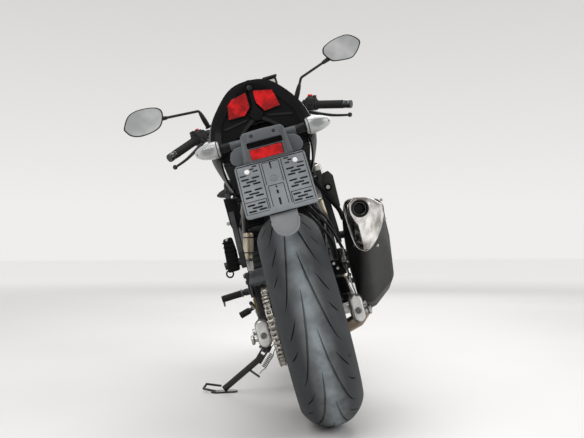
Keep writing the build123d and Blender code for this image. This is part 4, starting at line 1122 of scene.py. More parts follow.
class BuildTyres(bpy.types.Operator):
    """Cuts the tread and spins both tyres"""

    bl_idname = "roadster.tyres"
    bl_label = "Tyres"

    def execute(self, context):
        tyre("rear_tyre_tread", "rear_wheel", "rear_rubber", ["rear_tyre"], REAR_AXLE, *REAR_TYRE)
        tyre(
            "front_tyre_tread", "front_wheel", "front_rubber", ["front_tyre"], FRONT_AXLE,
            *FRONT_TYRE
        )
        return {"FINISHED"}


# Tail, mudguard and number plate bracket --------------------------------------------------
TILT = atan2(59, 137)
# Y and Z of the signal stalks and of the lamps on their ends, and X of the lamps' roots.
STALK = (-262, 820)
SIGNAL = (-267, 820)
SIGNAL_ROOT = 116


def on_board(x, y, out=0.0):
    """A point of the number plate bracket: x across, y up the board, out towards the rear."""
    return mm(x, -372 + y * sin(TILT) - out * cos(TILT), 686 + y * cos(TILT) + out * sin(TILT))


def round_box(width, height, radius, centre=(0, 0), corners=4):
    """The outline of a rounded rectangle."""
    points = []
    for sx, sy, start in ((1, 1, 0), (-1, 1, 90), (-1, -1, 180), (1, -1, 270)):
        for index in range(corners + 1):
            angle = radians(start + 90 * index / corners)
            x = centre[0] + sx * (width / 2 - radius) + radius * cos(angle)
            y = centre[1] + sy * (height / 2 - radius) + radius * sin(angle)
            points.append((x, y))
    return points


def board_plate(points, low, high):
    """A plate on the bracket between two offsets."""
    return slab(
        [on_board(x, y, low) for x, y in points], on_board(0, 0, high) - on_board(0, 0, low)
    )


def upright(points, rear, front):
    """A plate across the bike from y rear to y front."""
    return slab([mm(x, rear, z) for x, z in points], mm(0, front - rear, 0))


def plate(points, rear, front, width, segments):
    """An upright plate with its edges rounded to a width."""
    return eased(upright(points, rear, front), width, segments)


def both(half):
    """A half outline (x from the middle outward) closed by its mirror image."""
    return [*half, *[(-x, z) for x, z in half[::-1] if abs(x) > 0.01]]


def bracket_slots():
    """Outlines of the slots, the keyholes and the dimple."""
    slots = []
    for side in (-1, 1):
        for top in (33, -1, -40):
            for x, y, width in (
                (-71, 0, 20), (-44.5, 1, 20), (-57, -8.6, 26), (-71, -17, 20), (-44.5, -16, 20)
            ):
                slots.append(round_box(width, 5.2, 2.1, (side * x, top + y), 2))
        for x, y, width in ((-41, 65, 13), (-49, 58.5, 11), (-41, 51.5, 13), (-74, 44, 16)):
            slots.append(round_box(width, 4.2, 1.7, (side * x, y), 2))
    slots.append(round_box(4, 20, 1.9, (-1, 56), 2))
    slots.append(round_box(5.4, 5.4, 2.6, (0, -6), 3))
    slots.append(round_box(5.2, 12, 2.4, (0, -20.5), 3))
    slots.append(round_box(5.4, 21, 2.4, (0, -47), 3))
    return slots


def bracket_lines():
    """Shallow grooves that frame the panels."""
    bars = [(0, 71, 170, 2.8)]
    for side in (-1, 1):
        bars += [(side * 27.4, 4, 2.2, 128), (side * 86.4, 4, 1.8, 136)]
        bars += [
            (side * 57, -30.5, 54, 2.2), (side * 31.4, -45, 2.0, 30), (side * 57, -63.5, 54, 1.6)
        ]
    for x, y, width, height in ((0, 36, 43, 61), (0, -29, 39, 58)):
        bars += [(x, y + height / 2, width, 2.2), (x - width / 2, y - 1, 2.0, height - 1)]
        bars += [(x + width / 2, y - 1, 2.0, height - 1)]
    return bars


class BuildBracket(bpy.types.Operator):
    """Moulds the slotted number plate bracket"""

    bl_idname = "roadster.bracket"
    bl_label = "Plate bracket"

    def execute(self, context):
        board = eased(board_plate(round_box(182, 150, 9), -4, 0), 0.0011, 2, 50)
        cut(board, joined([board_plate(outline_, -6, 2) for outline_ in bracket_slots()]))
        # Painted shade: dark strips laid in the bottoms of the grooves.
        groove_shade = []
        for x, y, width, height in bracket_lines():
            cut(board, board_plate(round_box(width, height, 0.5, (x, y), 1), -2.0, 1))
            groove_shade.append(board_plate(round_box(width, height, 0.5, (x, y), 1), -2.3, -1.7))
        finished(groove_shade, "bracket_groove_shade", "chassis", "dark_plastic")
        out = on_board(0, 0, 1) - on_board(0, 0, 0)
        ring_mark = ring(on_board(-1, 20, 0), out, 0.0082, 0.0016, 28, 8)
        dimple = drum(on_board(-1, 20, 0.1), out, 0.0034, 0.0012, 20, 0.0026)
        lip = []
        for side in (-1, 1):
            lip.append(eased(
                board_plate(round_box(2.6, 128, 1.2, (side * 89.6, -3), 2), -2, 0.9), 0.0004, 1
            ))
        lip.append(eased(board_plate(round_box(174, 2.4, 1.1, (0, 73.6), 2), -2, 0.9), 0.0004, 1))
        board = joined([board, ring_mark, dimple, *lip])
        finished(board, "slotted_plate_bracket", "chassis", "bracket_plastic", ["plate_bracket"])
        caps = []
        for x in (-62, 62):
            head = eased(drum_between(
                on_board(x, 52, 0.2), on_board(x, 52, 4.6), 0.0072, 28, 0.006
            ), 0.001, 2)
            cut(head, drum_between(on_board(x + 1, 51, 3.6), on_board(x + 1, 51, 6), 0.0016, 12))
            caps.append(head)
        finished(caps, "plate_bolt_caps", "chassis", "white_plastic")
        return {"FINISHED"}


def facet_lens(points, rear, depth, inset):
    """A lens with a flat face and sloping sides."""
    piece = upright(points, rear + depth, rear)
    only(piece)
    bpy.ops.object.mode_set(mode="EDIT")
    mesh = bmesh.from_edit_mesh(piece.data)
    for face in mesh.faces:
        face.select_set(
            abs(face.normal.y) > 0.9 and face.calc_center_median().y < (rear + 0.5) / 1000
        )
    bmesh.update_edit_mesh(piece.data)
    bpy.ops.mesh.inset(thickness=inset, depth=inset * 0.8)
    bpy.ops.object.mode_set(mode="OBJECT")
    return eased(piece, 0.0008, 2, 20)


class BuildTailLamps(bpy.types.Operator):
    """Facets the tail lenses and the reflector, with their bezels"""

    bl_idname = "roadster.tail_lamps"
    bl_label = "Tail lamps"

    def execute(self, context):
        lenses, bezels = [], []
        left = [(-14, 952), (-68, 940), (-74, 893), (-31, 893), (-13, 912)]
        right = [(4, 953), (56, 943), (66, 898), (24, 893), (7, 918)]
        for outline_ in (left, right):
            lenses.append(facet_lens(outline_, -234, 9, 0.0035))
            centre = Vector((sum(x for x, z in outline_) / 5, sum(z for x, z in outline_) / 5))
            wide = [tuple(centre + (Vector(point) - centre) * 1.1) for point in outline_]
            bezels.append(plate(wide, -226.5, -231.5, 0.001, 1))
        lenses.append(facet_lens(round_box(82, 26, 1.5, (-1, 773), 1), -349, 8, 0.003))
        finished(lenses, "tail_lamp_lenses", "chassis", "red_lens", ["rear_lenses"], angle=20)
        finished(bezels, "tail_lamp_bezels", "chassis", "tail_gloss")
        return {"FINISHED"}


class BuildTailTrim(bpy.types.Operator):
    """Adds the gloss bezel inside the tail opening, its latch and the seam ribs"""

    bl_idname = "roadster.tail_trim"
    bl_label = "Tail trim"

    def execute(self, context):
        rim = [(126, 792), (138, 828), (122, 890), (84, 943), (46, 973), (0, 982)]
        lip = [(118, 792), (129, 829), (114, 887), (78, 936), (43, 966), (0, 974)]
        inner = [(104, 800), (110, 832), (98, 880), (66, 922), (34, 950), (0, 956)]
        rows = [
            [(x, -239.5, z) for x, z in rim], [(x, -240.5, z) for x, z in lip],
            [(x, -229, z) for x, z in inner]
        ]
        rows.append([(x, -224, z) for x, z in inner])
        piece = sheet_of([
            [mm(*point) for point in row + [(-x, y, z) for x, y, z in row[-2::-1]]] for row in rows
        ])
        modified(piece, "SOLIDIFY", thickness=0.0018, offset=-1)
        finished(eased(piece, 0.0007, 1, 20), "tail_bezel", "chassis", "tail_gloss", angle=18)
        latch = eased(drum_between(mm(-1, -232, 958), mm(-1, -243, 960), 0.006, 20), 0.0008, 2)
        cut(latch, block(mm(-1, -243, 960), (0.0014, 0.004, 0.007)))
        ring_ = ring(mm(-1, -241, 960), (0, 1, 0), 0.0066, 0.0012, 28, 8)
        finished([latch, ring_], "seat_latch", "chassis", "black_metal")
        ribs = []
        for side in (-1, 1):
            for front, rib in (
                (-229, ((30, 884), (96, 872), (92, 866), (28, 878))),
                (-230, ((12, 884), (34, 868), (62, 842), (56, 838), (26, 862), (6, 876))),
            ):
                corners = [(side * x, z) for x, z in rib]
                ribs.append(plate(corners, -226, front, 0.0008, 1))
        finished(ribs, "tail_panel_ribs", "chassis", "dark_plastic")
        return {"FINISHED"}


class BuildMudguard(bpy.types.Operator):
    """Models the hood over the reflector, its wings, stalks and tongue"""

    bl_idname = "roadster.mudguard"
    bl_label = "Rear mudguard"

    def execute(self, context):
        hood = []
        outer = both([(0, 754), (64, 756), (63, 766), (57, 822), (50, 832), (0, 834)])
        body = upright(outer, -346, -250)
        eased(body, 0.0035, 3, 40)
        cut(body, upright(round_box(92, 15, 3, (0, 797.5)), -350, -322))
        cut(body, upright(round_box(85, 28, 2, (0, 774)), -350, -341))
        hood.append(body)
        hood.append(plate(both([(0, 752), (58, 760), (50, 806), (0, 812)]), -252, -92, 0.004, 2))
        hood.append(plate(
            both([(0, 805.5), (44, 806), (43, 822), (38, 829), (0, 830)]), -348.6, -344, 0.002, 2
        ))
        for side in (-1, 1):
            step = [(side * 50, 760), (side * 60.5, 760), (side * 55.5, 826), (side * 51, 826)]
            hood.append(plate(step, -349, -345, 0.0012, 2))
            wing = [(side * x, z) for x, z in (
                (48, 763), (84, 762), (94, 770), (96, 781), (91, 797), (78, 806), (50, 809)
            )]
            hood.append(plate(wing, -303, -293, 0.003, 3))
            hood.append(drum_between(mm(side * 40, *STALK), mm(side * 92, *STALK), 0.0112, 28))
        finished(hood, "mudguard_hood", "chassis", "grey_plastic", ["rear_fender"])
        tongue = [(35, -60), (34, -96), (31, -112), (26, -124), (18, -132), (8, -136), (0, -137)]
        piece = eased(board_plate(both(tongue), -13.6, -9.4), 0.0014, 2)
        edge = tube([on_board(x, y, -9.6) for x, y in both(tongue)][1:-1], 0.0024, 2)
        finished([piece, edge], "mudguard_tongue", "chassis", "worn_plastic")
        # Painted shade: the dark sheet at the bottom of the mudguard slot and the dark sheet behind
        # the bracket slots; the bracket's spine is real but coloured dark for the same shade.
        dark = [upright(round_box(91, 17, 2, (0, 799)), -324, -322)]
        dark.append(eased(board_plate(round_box(168, 138, 6, (0, 0)), -8, -4.4), 0.001, 1))
        dark.append(eased(board_plate(round_box(80, 150, 10, (0, 0)), -14, -8), 0.0015, 2))
        for z in (794, 799, 804):
            dark.append(eased(block(mm(0, -333, z), (0.0905, 0.016, 0.0016)), 0.0004, 1))
        for side in (-1, 1):
            root = drum_between(mm(side * 88, *STALK), mm(side * 119, *STALK), 0.0123, 28)
            dark.append(eased(root, 0.0012, 2))
            for reach in (96, 101, 106):
                dark.append(ring(mm(side * reach, *STALK), (1, 0, 0), 0.0122, 0.0011, 28, 6))
        finished(dark, "mudguard_louvre_and_shade_sheets", "chassis", "dark_plastic")
        screws = [
            socket_bolt(mm(side * 29, -347.4, 820), (0, -1, 0), 0.0085, 0.0022) for side in (-1, 1)
        ]
        finished(screws, "mudguard_screws", "chassis", "dark_plastic")
        return {"FINISHED"}


def signal_lamp(side, name, stands_for):
    """A teardrop signal: clear lens, and a holder of rim, cap and screw."""
    root = mm(side * SIGNAL_ROOT, *SIGNAL)
    profile = (
        (0, 0.84), (3, 0.95), (8, 1.0), (14, 1.0), (26, 0.985), (38, 0.9), (48, 0.77), (56, 0.6),
        (62, 0.4), (65, 0.22), (66.5, 0.001),
    )
    line = [(-0.001, 0.001)] + [(reach / 1000, size) for reach, size in profile]
    shell = turned([(along, size * 0.0225) for along, size in line], (0, 0, 0), (1, 0, 0), 40)
    cup = [(-0.004, 0.001), (-0.004, 0.011), (0.0, 0.0142), (0.003, 0.0165), (0.005, 0.001)]
    cap = turned(cup, (0, 0, 0), (1, 0, 0), 40)
    for piece in (shell, cap):
        piece.data.transform(Matrix.Translation(root) @ Matrix.Diagonal((side, 1.3, 1, 1)))
        weld(piece)
    finished(shell, name, "chassis", "signal_lens", stands_for)
    rim = ring((0, 0, 0), (1, 0, 0), 0.0222, 0.0011, 40, 8)
    middle = mm(side * (SIGNAL_ROOT + 6), *SIGNAL)
    rim.data.transform(Matrix.Translation(middle) @ Matrix.Diagonal((1, 1.3, 1, 1)))
    y, z = SIGNAL
    spot = mm(side * (SIGNAL_ROOT + 58), y - 14, z - 2)
    screw = drum(spot, (side * 0.5, -1, 0), 0.0016, 0.003, 12)
    finished([rim, cap, screw], f"{name}_holder", "chassis", "dark_plastic")


class BuildRearSignals(bpy.types.Operator):
    """Turns the rear signals"""

    bl_idname = "roadster.rear_signals"
    bl_label = "Rear signals"

    def execute(self, context):
        signal_lamp(-1, "rear_signal_left", ["signal_lenses"])
        signal_lamp(1, "rear_signal_right", [])
        return {"FINISHED"}


# Silencer ---------------------------------------------------------------------------------
CAP_JOINT = [
    (166, 560), (168, 597), (188, 614), (248, 601), (272, 578), (268, 548), (250, 512), (233, 489),
    (207, 467), (187, 468), (171, 492)
]
CAP_MIDDLE = [
    (169, 568), (171, 600), (190, 613.5), (244, 600), (262, 576), (256, 548), (240, 514),
    (223, 492), (205, 480), (189, 480), (174, 506)
]
CAP_FACE = [
    (173, 573), (175, 600), (192, 612), (224, 604), (230, 589), (226, 570), (215, 552), (205, 541),
    (199, 538), (186, 538), (179, 552)
]


class BuildSilencer(bpy.types.Operator):
    """Models the faceted silencer cap with its outlet, joint band and rivets"""

    bl_idname = "roadster.silencer"
    bl_label = "Silencer"

    def execute(self, context):
        stations = ((-134, CAP_JOINT), (-146, CAP_JOINT), (-172, CAP_MIDDLE), (-213, CAP_FACE))
        rows = [[mm(x, y, z) for x, z in line] for y, line in stations]
        cap = eased(sheet_of(rows, closed=True, capped=True), 0.0022, 2, 14)
        centre = mm(201, -213, 579)
        cut(cap, drum_between(centre - mm(0, -60, 0), centre + mm(0, -8, 0), 0.0212, 40))
        finished(cap, "silencer_cap", "chassis", "chrome", ["muffler_cap"], angle=24)
        profile = [
            (-0.005, 0.0205), (0.007, 0.0242), (0.0085, 0.0238), (0.009, 0.0222), (0.0086, 0.0206),
            (0.002, 0.0196), (-0.05, 0.019)
        ]
        outlet = turned(profile, centre, (0, -1, 0), 56)
        inner = ring(centre + mm(0, 4, 0), (0, 1, 0), 0.0172, 0.0014, 48, 10)
        throat = turned([
            (-0.05, 0.014), (-0.007, 0.0148), (-0.0062, 0.0156), (-0.007, 0.0172), (-0.05, 0.0176)
        ], centre, (0, -1, 0), 48)
        baffle = drum(centre + mm(0, 48, 0), (0, 1, 0), 0.0192, 0.003, 40)
        finished([outlet, throat, baffle], "silencer_outlet", "chassis", "black_metal")
        finished(inner, "silencer_outlet_ring", "chassis", "bolt_steel")
        loop = smooth_loop([mm(x, -136, z) for x, z in CAP_JOINT], 4)
        band = sheet_of(
            [[point + mm(0, shift, 0) for point in loop] for shift in (-3, 3)], closed=True
        )
        modified(band, "SOLIDIFY", thickness=0.0012, offset=1)
        finished(band, "silencer_joint", "chassis", "chrome")
        rivets = []
        for x, y, z in ((172, -120, 486), (232, -118, 470), (272, -116, 536), (276, -118, 590)):
            rivets.append(ball(mm(x, y, z), (0.009, 0.005, 0.009), 8, 14))
        finished(rivets, "silencer_rivets", "chassis", "steel")
        return {"FINISHED"}


# Final drive, swingarm ends and side stand ------------------------------------------------
# The chain line lies in a plane: points are Y and Z, and legs are the arc on the rear sprocket,
# a run, the arc on the gearbox sprocket and the other run.
PITCH = 0.015875
LINKS, REAR_TEETH, GEARBOX_TEETH = 106, 43, 17
REAR_SHAFT, GEARBOX_SHAFT = Vector((0, 0.315)), Vector((0.6, 0.378))
CHAIN_X = -0.107
BIG, SMALL = (PITCH / 2 / sin(pi / teeth) for teeth in (REAR_TEETH, GEARBOX_TEETH))
RUN = (GEARBOX_SHAFT - REAR_SHAFT).length
SLOPE = atan2(GEARBOX_SHAFT.y - REAR_SHAFT.y, GEARBOX_SHAFT.x - REAR_SHAFT.x)
WRAP = acos((BIG - SMALL) / RUN)
LEGS = (BIG * (tau - 2 * WRAP), RUN * sin(WRAP), SMALL * 2 * WRAP, RUN * sin(WRAP))


def chain_point(distance):
    """A point of the chain line at a distance round it."""
    distance %= sum(LEGS)
    leg = 0
    while leg < 3 and distance >= LEGS[leg]:
        distance -= LEGS[leg]
        leg += 1
    centre, radius = (REAR_SHAFT, BIG) if leg < 2 else (GEARBOX_SHAFT, SMALL)
    angle = SLOPE + (WRAP if leg in (0, 3) else -WRAP)
    if leg in (0, 2):
        angle += distance / radius
        return centre + Vector((cos(angle), sin(angle))) * radius
    start = centre + Vector((cos(angle), sin(angle))) * radius
    return start + Vector((cos(angle + pi / 2), sin(angle + pi / 2))) * distance


def link_places():
    """Every link's middle and heading, with both its pins on the chain line."""
    pins = [chain_point(sum(LEGS) * index / LINKS) for index in range(LINKS)]
    ends = zip(pins, [*pins[1:], pins[0]])
    return [((a + b) / 2, atan2(b.y - a.y, b.x - a.x)) for a, b in ends]


def link_plate(out, thickness):
    """One figure-of-eight side plate, its length along Y."""
    right = [
        (PITCH / 2 + 0.0071 * cos(radians(a)), 0.0071 * sin(radians(a)))
        for a in (-110, -60, -20, 20, 60, 110)
    ]
    points = [*right, (0, 0.0055), *[(-y, z) for y, z in right[::-1]], (0, -0.0055)]
    return slab([(out, y, z) for y, z in points], (thickness, 0, 0))


def link(plates, pin):
    """One link: two side plates at distances out, and two pins or rollers."""
    pair = [link_plate(out, 0.0016) for out in plates]
    pins = [drum((0, ahead * PITCH, 0), (1, 0, 0), *pin) for ahead in (-0.5, 0.5)]
    return joined(pair + pins)


class BuildDrive(bpy.types.Operator):
    """Links the chain, and models the adjusters, spools and axle ends"""

    bl_idname = "roadster.drive"
    bl_label = "Final drive"

    def execute(self, context):
        outer = link((-0.0088, 0.0072), (0.0027, 0.0198, 8))
        inner = link((-0.0064, 0.0048), (0.005, 0.0096, 10))
        links = []
        for index, (point, heading) in enumerate(link_places()):
            place = Matrix.Translation((CHAIN_X, *point)) @ Matrix.Rotation(heading, 4, "X")
            links.append(copied(outer if index % 2 else inner, place))
        bpy.data.objects.remove(outer)
        bpy.data.objects.remove(inner)
        finished(links, "chain_links", "chassis", "chain_steel", ["chain"])
        caps, bolts = [], []
        for side in (-1, 1):
            centre = mm(side * 138, -46, 310)
            cap = eased(slot_plate(centre, 0.036, 0.078, 0.0, 0.016), 0.0055, 4, 50)
            cut(cap, drum(centre + mm(0, -16, -6), (0, -1, 0), 0.0092, 0.006, 28))
            caps.append(cap)
            bolts.append(socket_bolt(centre + mm(0, -13.4, -6), (0, -1, 0), 0.0145, 0.0032))
            bolts.append(ring(centre + mm(0, -15.6, -6), (0, -1, 0), 0.0092, 0.0009, 28, 8))
            bolts.append(eased(slot_plate(centre, 0.041, 0.084, -0.004, 0.0), 0.001, 1, 50))
        finished(caps, "swingarm_end_caps", "chassis", "bright_alloy", ["swingarm_fittings"])
        finished(bolts, "swingarm_end_bolts", "chassis", "bolt_steel")
        profile = [
            (0, 0.001), (0, 0.0135), (0.003, 0.0135), (0.005, 0.0085), (0.02, 0.0078),
            (0.0225, 0.012), (0.024, 0.0142), (0.029, 0.0142), (0.031, 0.012), (0.031, 0.001)
        ]
        spools = []
        for side in (-1, 1):
            spool = turned(profile, mm(side * 147, -22, 296), (side, 0, 0), 32)
            spools.append(cut(spool, drum(mm(side * 178, -22, 296), (1, 0, 0), 0.0035, 0.008, 6)))
            spools.append(drum(mm(side * 148, 0, 315), (side, 0, 0), 0.021, 0.002, 32))
            spools.append(
                eased(drum(mm(side * 166, 0, 315), (side, 0, 0), 0.0099, 0.008, 20), 0.0012, 1)
            )
        finished(spools, "lift_spools", "chassis", "steel")
        return {"FINISHED"}


PIVOT_AT = Vector((-0.170, 0.508, 0.206))
STAND_TURN = Matrix(((0, -sin(pi / 4), -sin(pi / 4)), (1, 0, 0), (0, -sin(pi / 4), sin(pi / 4))))


def on_stand(ahead, down, out=0.0):
    """A point beside the stand's pivot: down the leg, out along the bolt."""
    return PIVOT_AT + STAND_TURN @ mm(ahead, down, out)


class BuildStand(bpy.types.Operator):
    """Coils the stand spring and adds its hooks and the pivot bolt"""

    bl_idname = "roadster.stand"
    bl_label = "Side stand"

    def execute(self, context):
        top, bottom = on_stand(-28, -12, -28), on_stand(-12, 84, -26)
        axis = (bottom - top).normalized()
        side = axis.orthogonal().normalized()
        other = axis.cross(side)
        coiled = 0.058
        start = top + axis * 0.016
        turns, per_turn = 9, 10
        coil = []
        for index in range(turns * per_turn + 1):
            angle = tau * index / per_turn
            along = start + axis * coiled * index / (turns * per_turn)
            coil.append(along + side * cos(angle) * 0.0078 + other * sin(angle) * 0.0078)
        spring = tube(coil, 0.0016, 2)
        upper = tube([top - axis * 0.004, top + axis * 0.004, start + side * 0.0078], 0.0015, 2)
        end = start + axis * coiled
        lower = tube([end + side * 0.0078, end + axis * 0.008, bottom + axis * 0.002], 0.0015, 2)
        finished(
            [spring, upper, lower], "stand_spring_coil", "side_stand", "bolt_steel",
            ["stand_spring"]
        )
        bolt = hex_bolt(on_stand(0, 0, 16), on_stand(0, 0, 1) - on_stand(0, 0, 0), 0.019, 0.008)
        finished(bolt, "stand_pivot_bolt", "side_stand", "bolt_steel")
        return {"FINISHED"}


# Handlebar controls and mirrors -----------------------------------------------------------
GRIP_START = Vector((0.264, 1.0, 1.063))
GRIP_WAY = (Vector((0.388, 0.915, 1.011)) - GRIP_START).normalized()
GRIP_UP = (Vector((0, 0, 1)) - GRIP_WAY * GRIP_WAY.z).normalized()
GRIP_BACK = GRIP_WAY.cross(GRIP_UP)
GRIP_FRAME = Matrix((GRIP_WAY, GRIP_BACK, GRIP_UP)).transposed()
LEFT_HEAD = [
    (-85, -4), (-57, 38), (-16, 53), (38, 50), (73, 38), (85, 16), (75, -18), (55, -42), (18, -54),
    (-31, -56), (-66, -43), (-83, -20)
]
RIGHT_HEAD = [
    (-84, 3), (-77, 23), (-52, 37), (-21, 47), (17, 52), (41, 50), (65, 36), (81, 18), (84, 2),
    (67, -23), (44, -44), (24, -52), (-8, -51), (-52, -44), (-67, -31), (-79, -13)
]
MIRROR_AT = {
    -1: (Vector((-442, 996, 1198)), Vector((-213, 1003, 1177))),
    1: (Vector((438, 974, 1258)), Vector((238, 1003, 1191)))
}
# Scale and depth in millimetres of a mirror head's rows, from its back to inside its rim.
HEAD_STEPS = (
    (0.2, 33), (0.5, 31), (0.78, 25), (0.94, 14), (1.0, 6), (1.0, 1), (0.985, -0.6),
    (0.955, -0.8), (0.94, 1.4), (0.9, 2.0),
)


def at_grip(along, back=0.0, up=0.0):
    """A point beside the right grip's axis, in millimetres from its inner end."""
    return GRIP_START + GRIP_FRAME @ mm(along, back, up)


def grip_block(along, back, up, size):
    """A block in the right grip's frame, its size in millimetres."""
    return block(at_grip(along, back, up), [length / 1000 for length in size], GRIP_FRAME)


class BuildControls(bpy.types.Operator):
    """Turns the ribbed grips and builds the switch housings, levers and fluid cup"""

    bl_idname = "roadster.controls"
    bl_label = "Handlebar controls"

    def execute(self, context):
        profile = [
            (0.0, 0.0116), (0.0, 0.0215), (0.003, 0.0222), (0.0055, 0.0215), (0.007, 0.0172)
        ]
        for index in range(24):
            along = 0.009 + index * 0.0046
            profile += [
                (along, 0.0172), (along + 0.003, 0.0174), (along + 0.0034, 0.0164),
                (along + 0.0042, 0.0164)
            ]
        profile += [(0.1215, 0.0176), (0.1225, 0.0116)]
        grip = turned(profile, GRIP_START, GRIP_WAY, 32)
        finished(mirrored(grip), "ribbed_grips", "steering", "grip_rubber", ["grips"])
        weight = [
            (0.1235, 0.010), (0.1235, 0.0162), (0.126, 0.0172), (0.131, 0.0172), (0.133, 0.0158),
            (0.137, 0.0158), (0.139, 0.0172), (0.155, 0.0172), (0.1585, 0.015), (0.159, 0.006),
            (0.1575, 0.0055), (0.1575, 0.001)
        ]
        finished(
            mirrored(turned(weight, GRIP_START, GRIP_WAY, 32)), "bar_weights", "steering",
            "body_gloss"
        )
        parts = [
            eased(grip_block(-22, 2, 3, (40, 47, 54)), 0.007, 3),
            eased(grip_block(-22, -3, 29, (34, 30, 14)), 0.004, 2),
            eased(grip_block(-8, -2, 34, (9, 22, 12)), 0.002, 2),
            eased(grip_block(-50, 0, 2, (12, 36, 40)), 0.004, 2),
            drum(at_grip(-58, 0, 0), GRIP_WAY, 0.0165, 0.012, 24),
            drum(at_grip(-3, 0, 0), GRIP_WAY, 0.0225, 0.005, 28),
            eased(grip_block(-16, 26, 2, (14, 7, 10)), 0.002, 2),
            eased(grip_block(-30, 26, -10, (9, 6, 9)), 0.002, 2),
        ]
        seam = grip_block(-22, 0, 3, (0.9, 60, 60))
        parts[0] = cut(parts[0], seam)
        for back, up in ((-16, 20), (16, -18)):
            parts.append(socket_bolt(
                at_grip(-50, back, up), GRIP_BACK * (1 if back > 0 else -1), 0.007, 0.003
            ))
        housing = joined(parts)
        cup = [
            eased(block(mm(118, 1066, 1219), (0.056, 0.04, 0.034)), 0.007, 3),
            eased(block(mm(118, 1064, 1240), (0.063, 0.046, 0.01)), 0.003, 2),
            hose([
                (118, 1068, 1204), (140, 1076, 1170), (176, 1072, 1120), (196, 1060, 1108)
            ], 0.005, 3),
        ]
        cap = []
        for x in (98, 138):
            cap.append(socket_bolt(mm(x, 1064, 1244.5), (0, 0, 1), 0.007, 0.002))
        finished(
            [mirrored(housing), *cup], "switch_housings", "steering", "dark_plastic",
            ["switchgear"]
        )
        finished(cap, "reservoir_screws", "steering", "bolt_steel")
        # Partly painted highlight: the pale window is the cup's sight glass and stands in for the
        # white highlight on it.
        window = eased(block(mm(118, 1045.5, 1219), (0.034, 0.002, 0.018)), 0.0008, 1)
        finished(window, "reservoir_window_highlight", "steering", "cup_plastic")
        red = eased(grip_block(-30, -4, 38, (17, 17, 12)), 0.003, 3)
        dot = eased(grip_block(-30, 8, 34, (8, 14, 8)), 0.002, 2)
        dot.data.transform(MIRROR)
        dot.data.flip_normals()
        finished([red, dot], "red_switches", "steering", "red_plastic")
        lever = hose([
            (222, 1078, 1066), (262, 1052, 1036), (297, 1022, 1014), (332, 985, 992),
            (370, 953, 977)
        ], 0.0072, 4, radii=[1.25, 1.15, 0.95, 0.8, 0.72])
        tip = ball(mm(376, 948, 975), (0.02, 0.02, 0.02), 12, 18)
        perch = [
            eased(block(
                mm(212, 1070, 1072), (0.034, 0.05, 0.024), Matrix.Rotation(radians(-32), 3, "Z")
            ), 0.005, 2),
            drum(mm(216, 1074, 1072), (0, 0, 1), 0.0085, 0.034, 20),
        ]
        finished(
            mirrored(joined([lever, tip, *perch])), "hand_levers", "steering", "frame_coat",
            ["levers"]
        )
        return {"FINISHED"}


def mirror_head(side, scale, depth):
    """The mirror's outline, drawn in by a scale, at a depth behind its face."""
    centre = MIRROR_AT[side][0]
    points = []
    for point in smooth_loop([(dx, dz, 0) for dx, dz in (LEFT_HEAD if side < 0 else RIGHT_HEAD)]):
        dx, dz = point.x * scale, point.y * scale
        points.append(mm(centre.x + dx, centre.y + 3 + depth + 0.06 * dz, centre.z + dz))
    return points


class BuildMirrors(bpy.types.Operator):
    """Moulds the mirror heads and bends their stems"""

    bl_idname = "roadster.mirrors"
    bl_label = "Mirrors"

    def execute(self, context):
        heads, glasses, stems = [], [], []
        for side in (-1, 1):
            rows = [mirror_head(side, scale, depth) for scale, depth in HEAD_STEPS]
            heads.append(sheet_of(rows, closed=True, capped=True))
            rows = [
                mirror_head(side, scale, depth) for scale, depth in ((0.955, 1.6), (0.93, 0.3))
            ]
            glasses.append(sheet_of(rows, closed=True, capped=True))
            centre, elbow = MIRROR_AT[side]
            base = Vector((side * 194, 1040, 1112))
            root = Vector(
                (centre.x - side * 66, centre.y + 16, centre.z - 6 - (20 if side > 0 else 0))
            )
            bend = elbow + (root - elbow).normalized() * 16
            before = elbow - (elbow - base).normalized() * 16
            collar = base + (elbow - base) * 0.62
            stems.append(
                tube([spot / 1000 for spot in (base, before, elbow, bend, root)], 0.0055, 3)
            )
            stems.append(turned([
                (0, 0.001), (0, 0.009), (0.006, 0.0105), (0.03, 0.0108), (0.05, 0.0095),
                (0.066, 0.0075), (0.07, 0.0055)
            ], base / 1000, collar - base, 24))
            sleeve = root - (root - elbow).normalized() * 30
            stems.append(drum_between(
                sleeve / 1000, (root + (root - elbow).normalized() * 12) / 1000, 0.0078, 20, 0.0105
            ))
            stems.append(hex_bolt(
                (base - (collar - base).normalized() * 5) / 1000, collar - base, 0.019, 0.012
            ))
        finished(heads + stems, "mirror_heads", "steering", "mirror_shell", ["mirrors"])
        finished(glasses, "mirror_panes", "steering", "mirror_glass", ["mirror_glasses"], angle=20)
        return {"FINISHED"}


# Tank, seats and bodywork -----------------------------------------------------------------
TANK = (
    (1063, [(0, 880), (44, 880), (62, 888), (58, 897), (30, 903), (0, 904)]),
    (1055, [(0, 872), (56, 872), (80, 884), (74, 900), (40, 908), (0, 910)]),
    (1000, [(0, 830), (110, 832), (156, 856), (156, 900), (112, 948), (50, 962), (0, 965)]),
    (900, [(0, 812), (108, 814), (160, 842), (162, 906), (122, 980), (52, 1002), (0, 1006)]),
    (800, [(0, 800), (96, 800), (138, 828), (142, 894), (108, 968), (48, 992), (0, 996)]),
    (648, [(0, 777), (68, 777), (88, 793), (88, 840), (70, 875), (31, 888), (0, 890)]),
    (638, [(0, 784), (56, 784), (72, 798), (72, 834), (56, 862), (26, 874), (0, 876)]),
)
RIDER = (
    (620, [(0, 796), (52, 796), (66, 804), (60, 828), (0, 834)]),
    (606, [(0, 790), (62, 790), (80, 800), (72, 832), (0, 840)]),
    (470, [(0, 778), (90, 778), (118, 787), (104, 814), (0, 820)]),
    (330, [(0, 790), (98, 790), (132, 801), (118, 829), (0, 835)]),
    (262, [(0, 828), (88, 830), (108, 849), (94, 880), (0, 890)]),
    (252, [(0, 838), (76, 840), (94, 854), (82, 874), (0, 882)]),
)
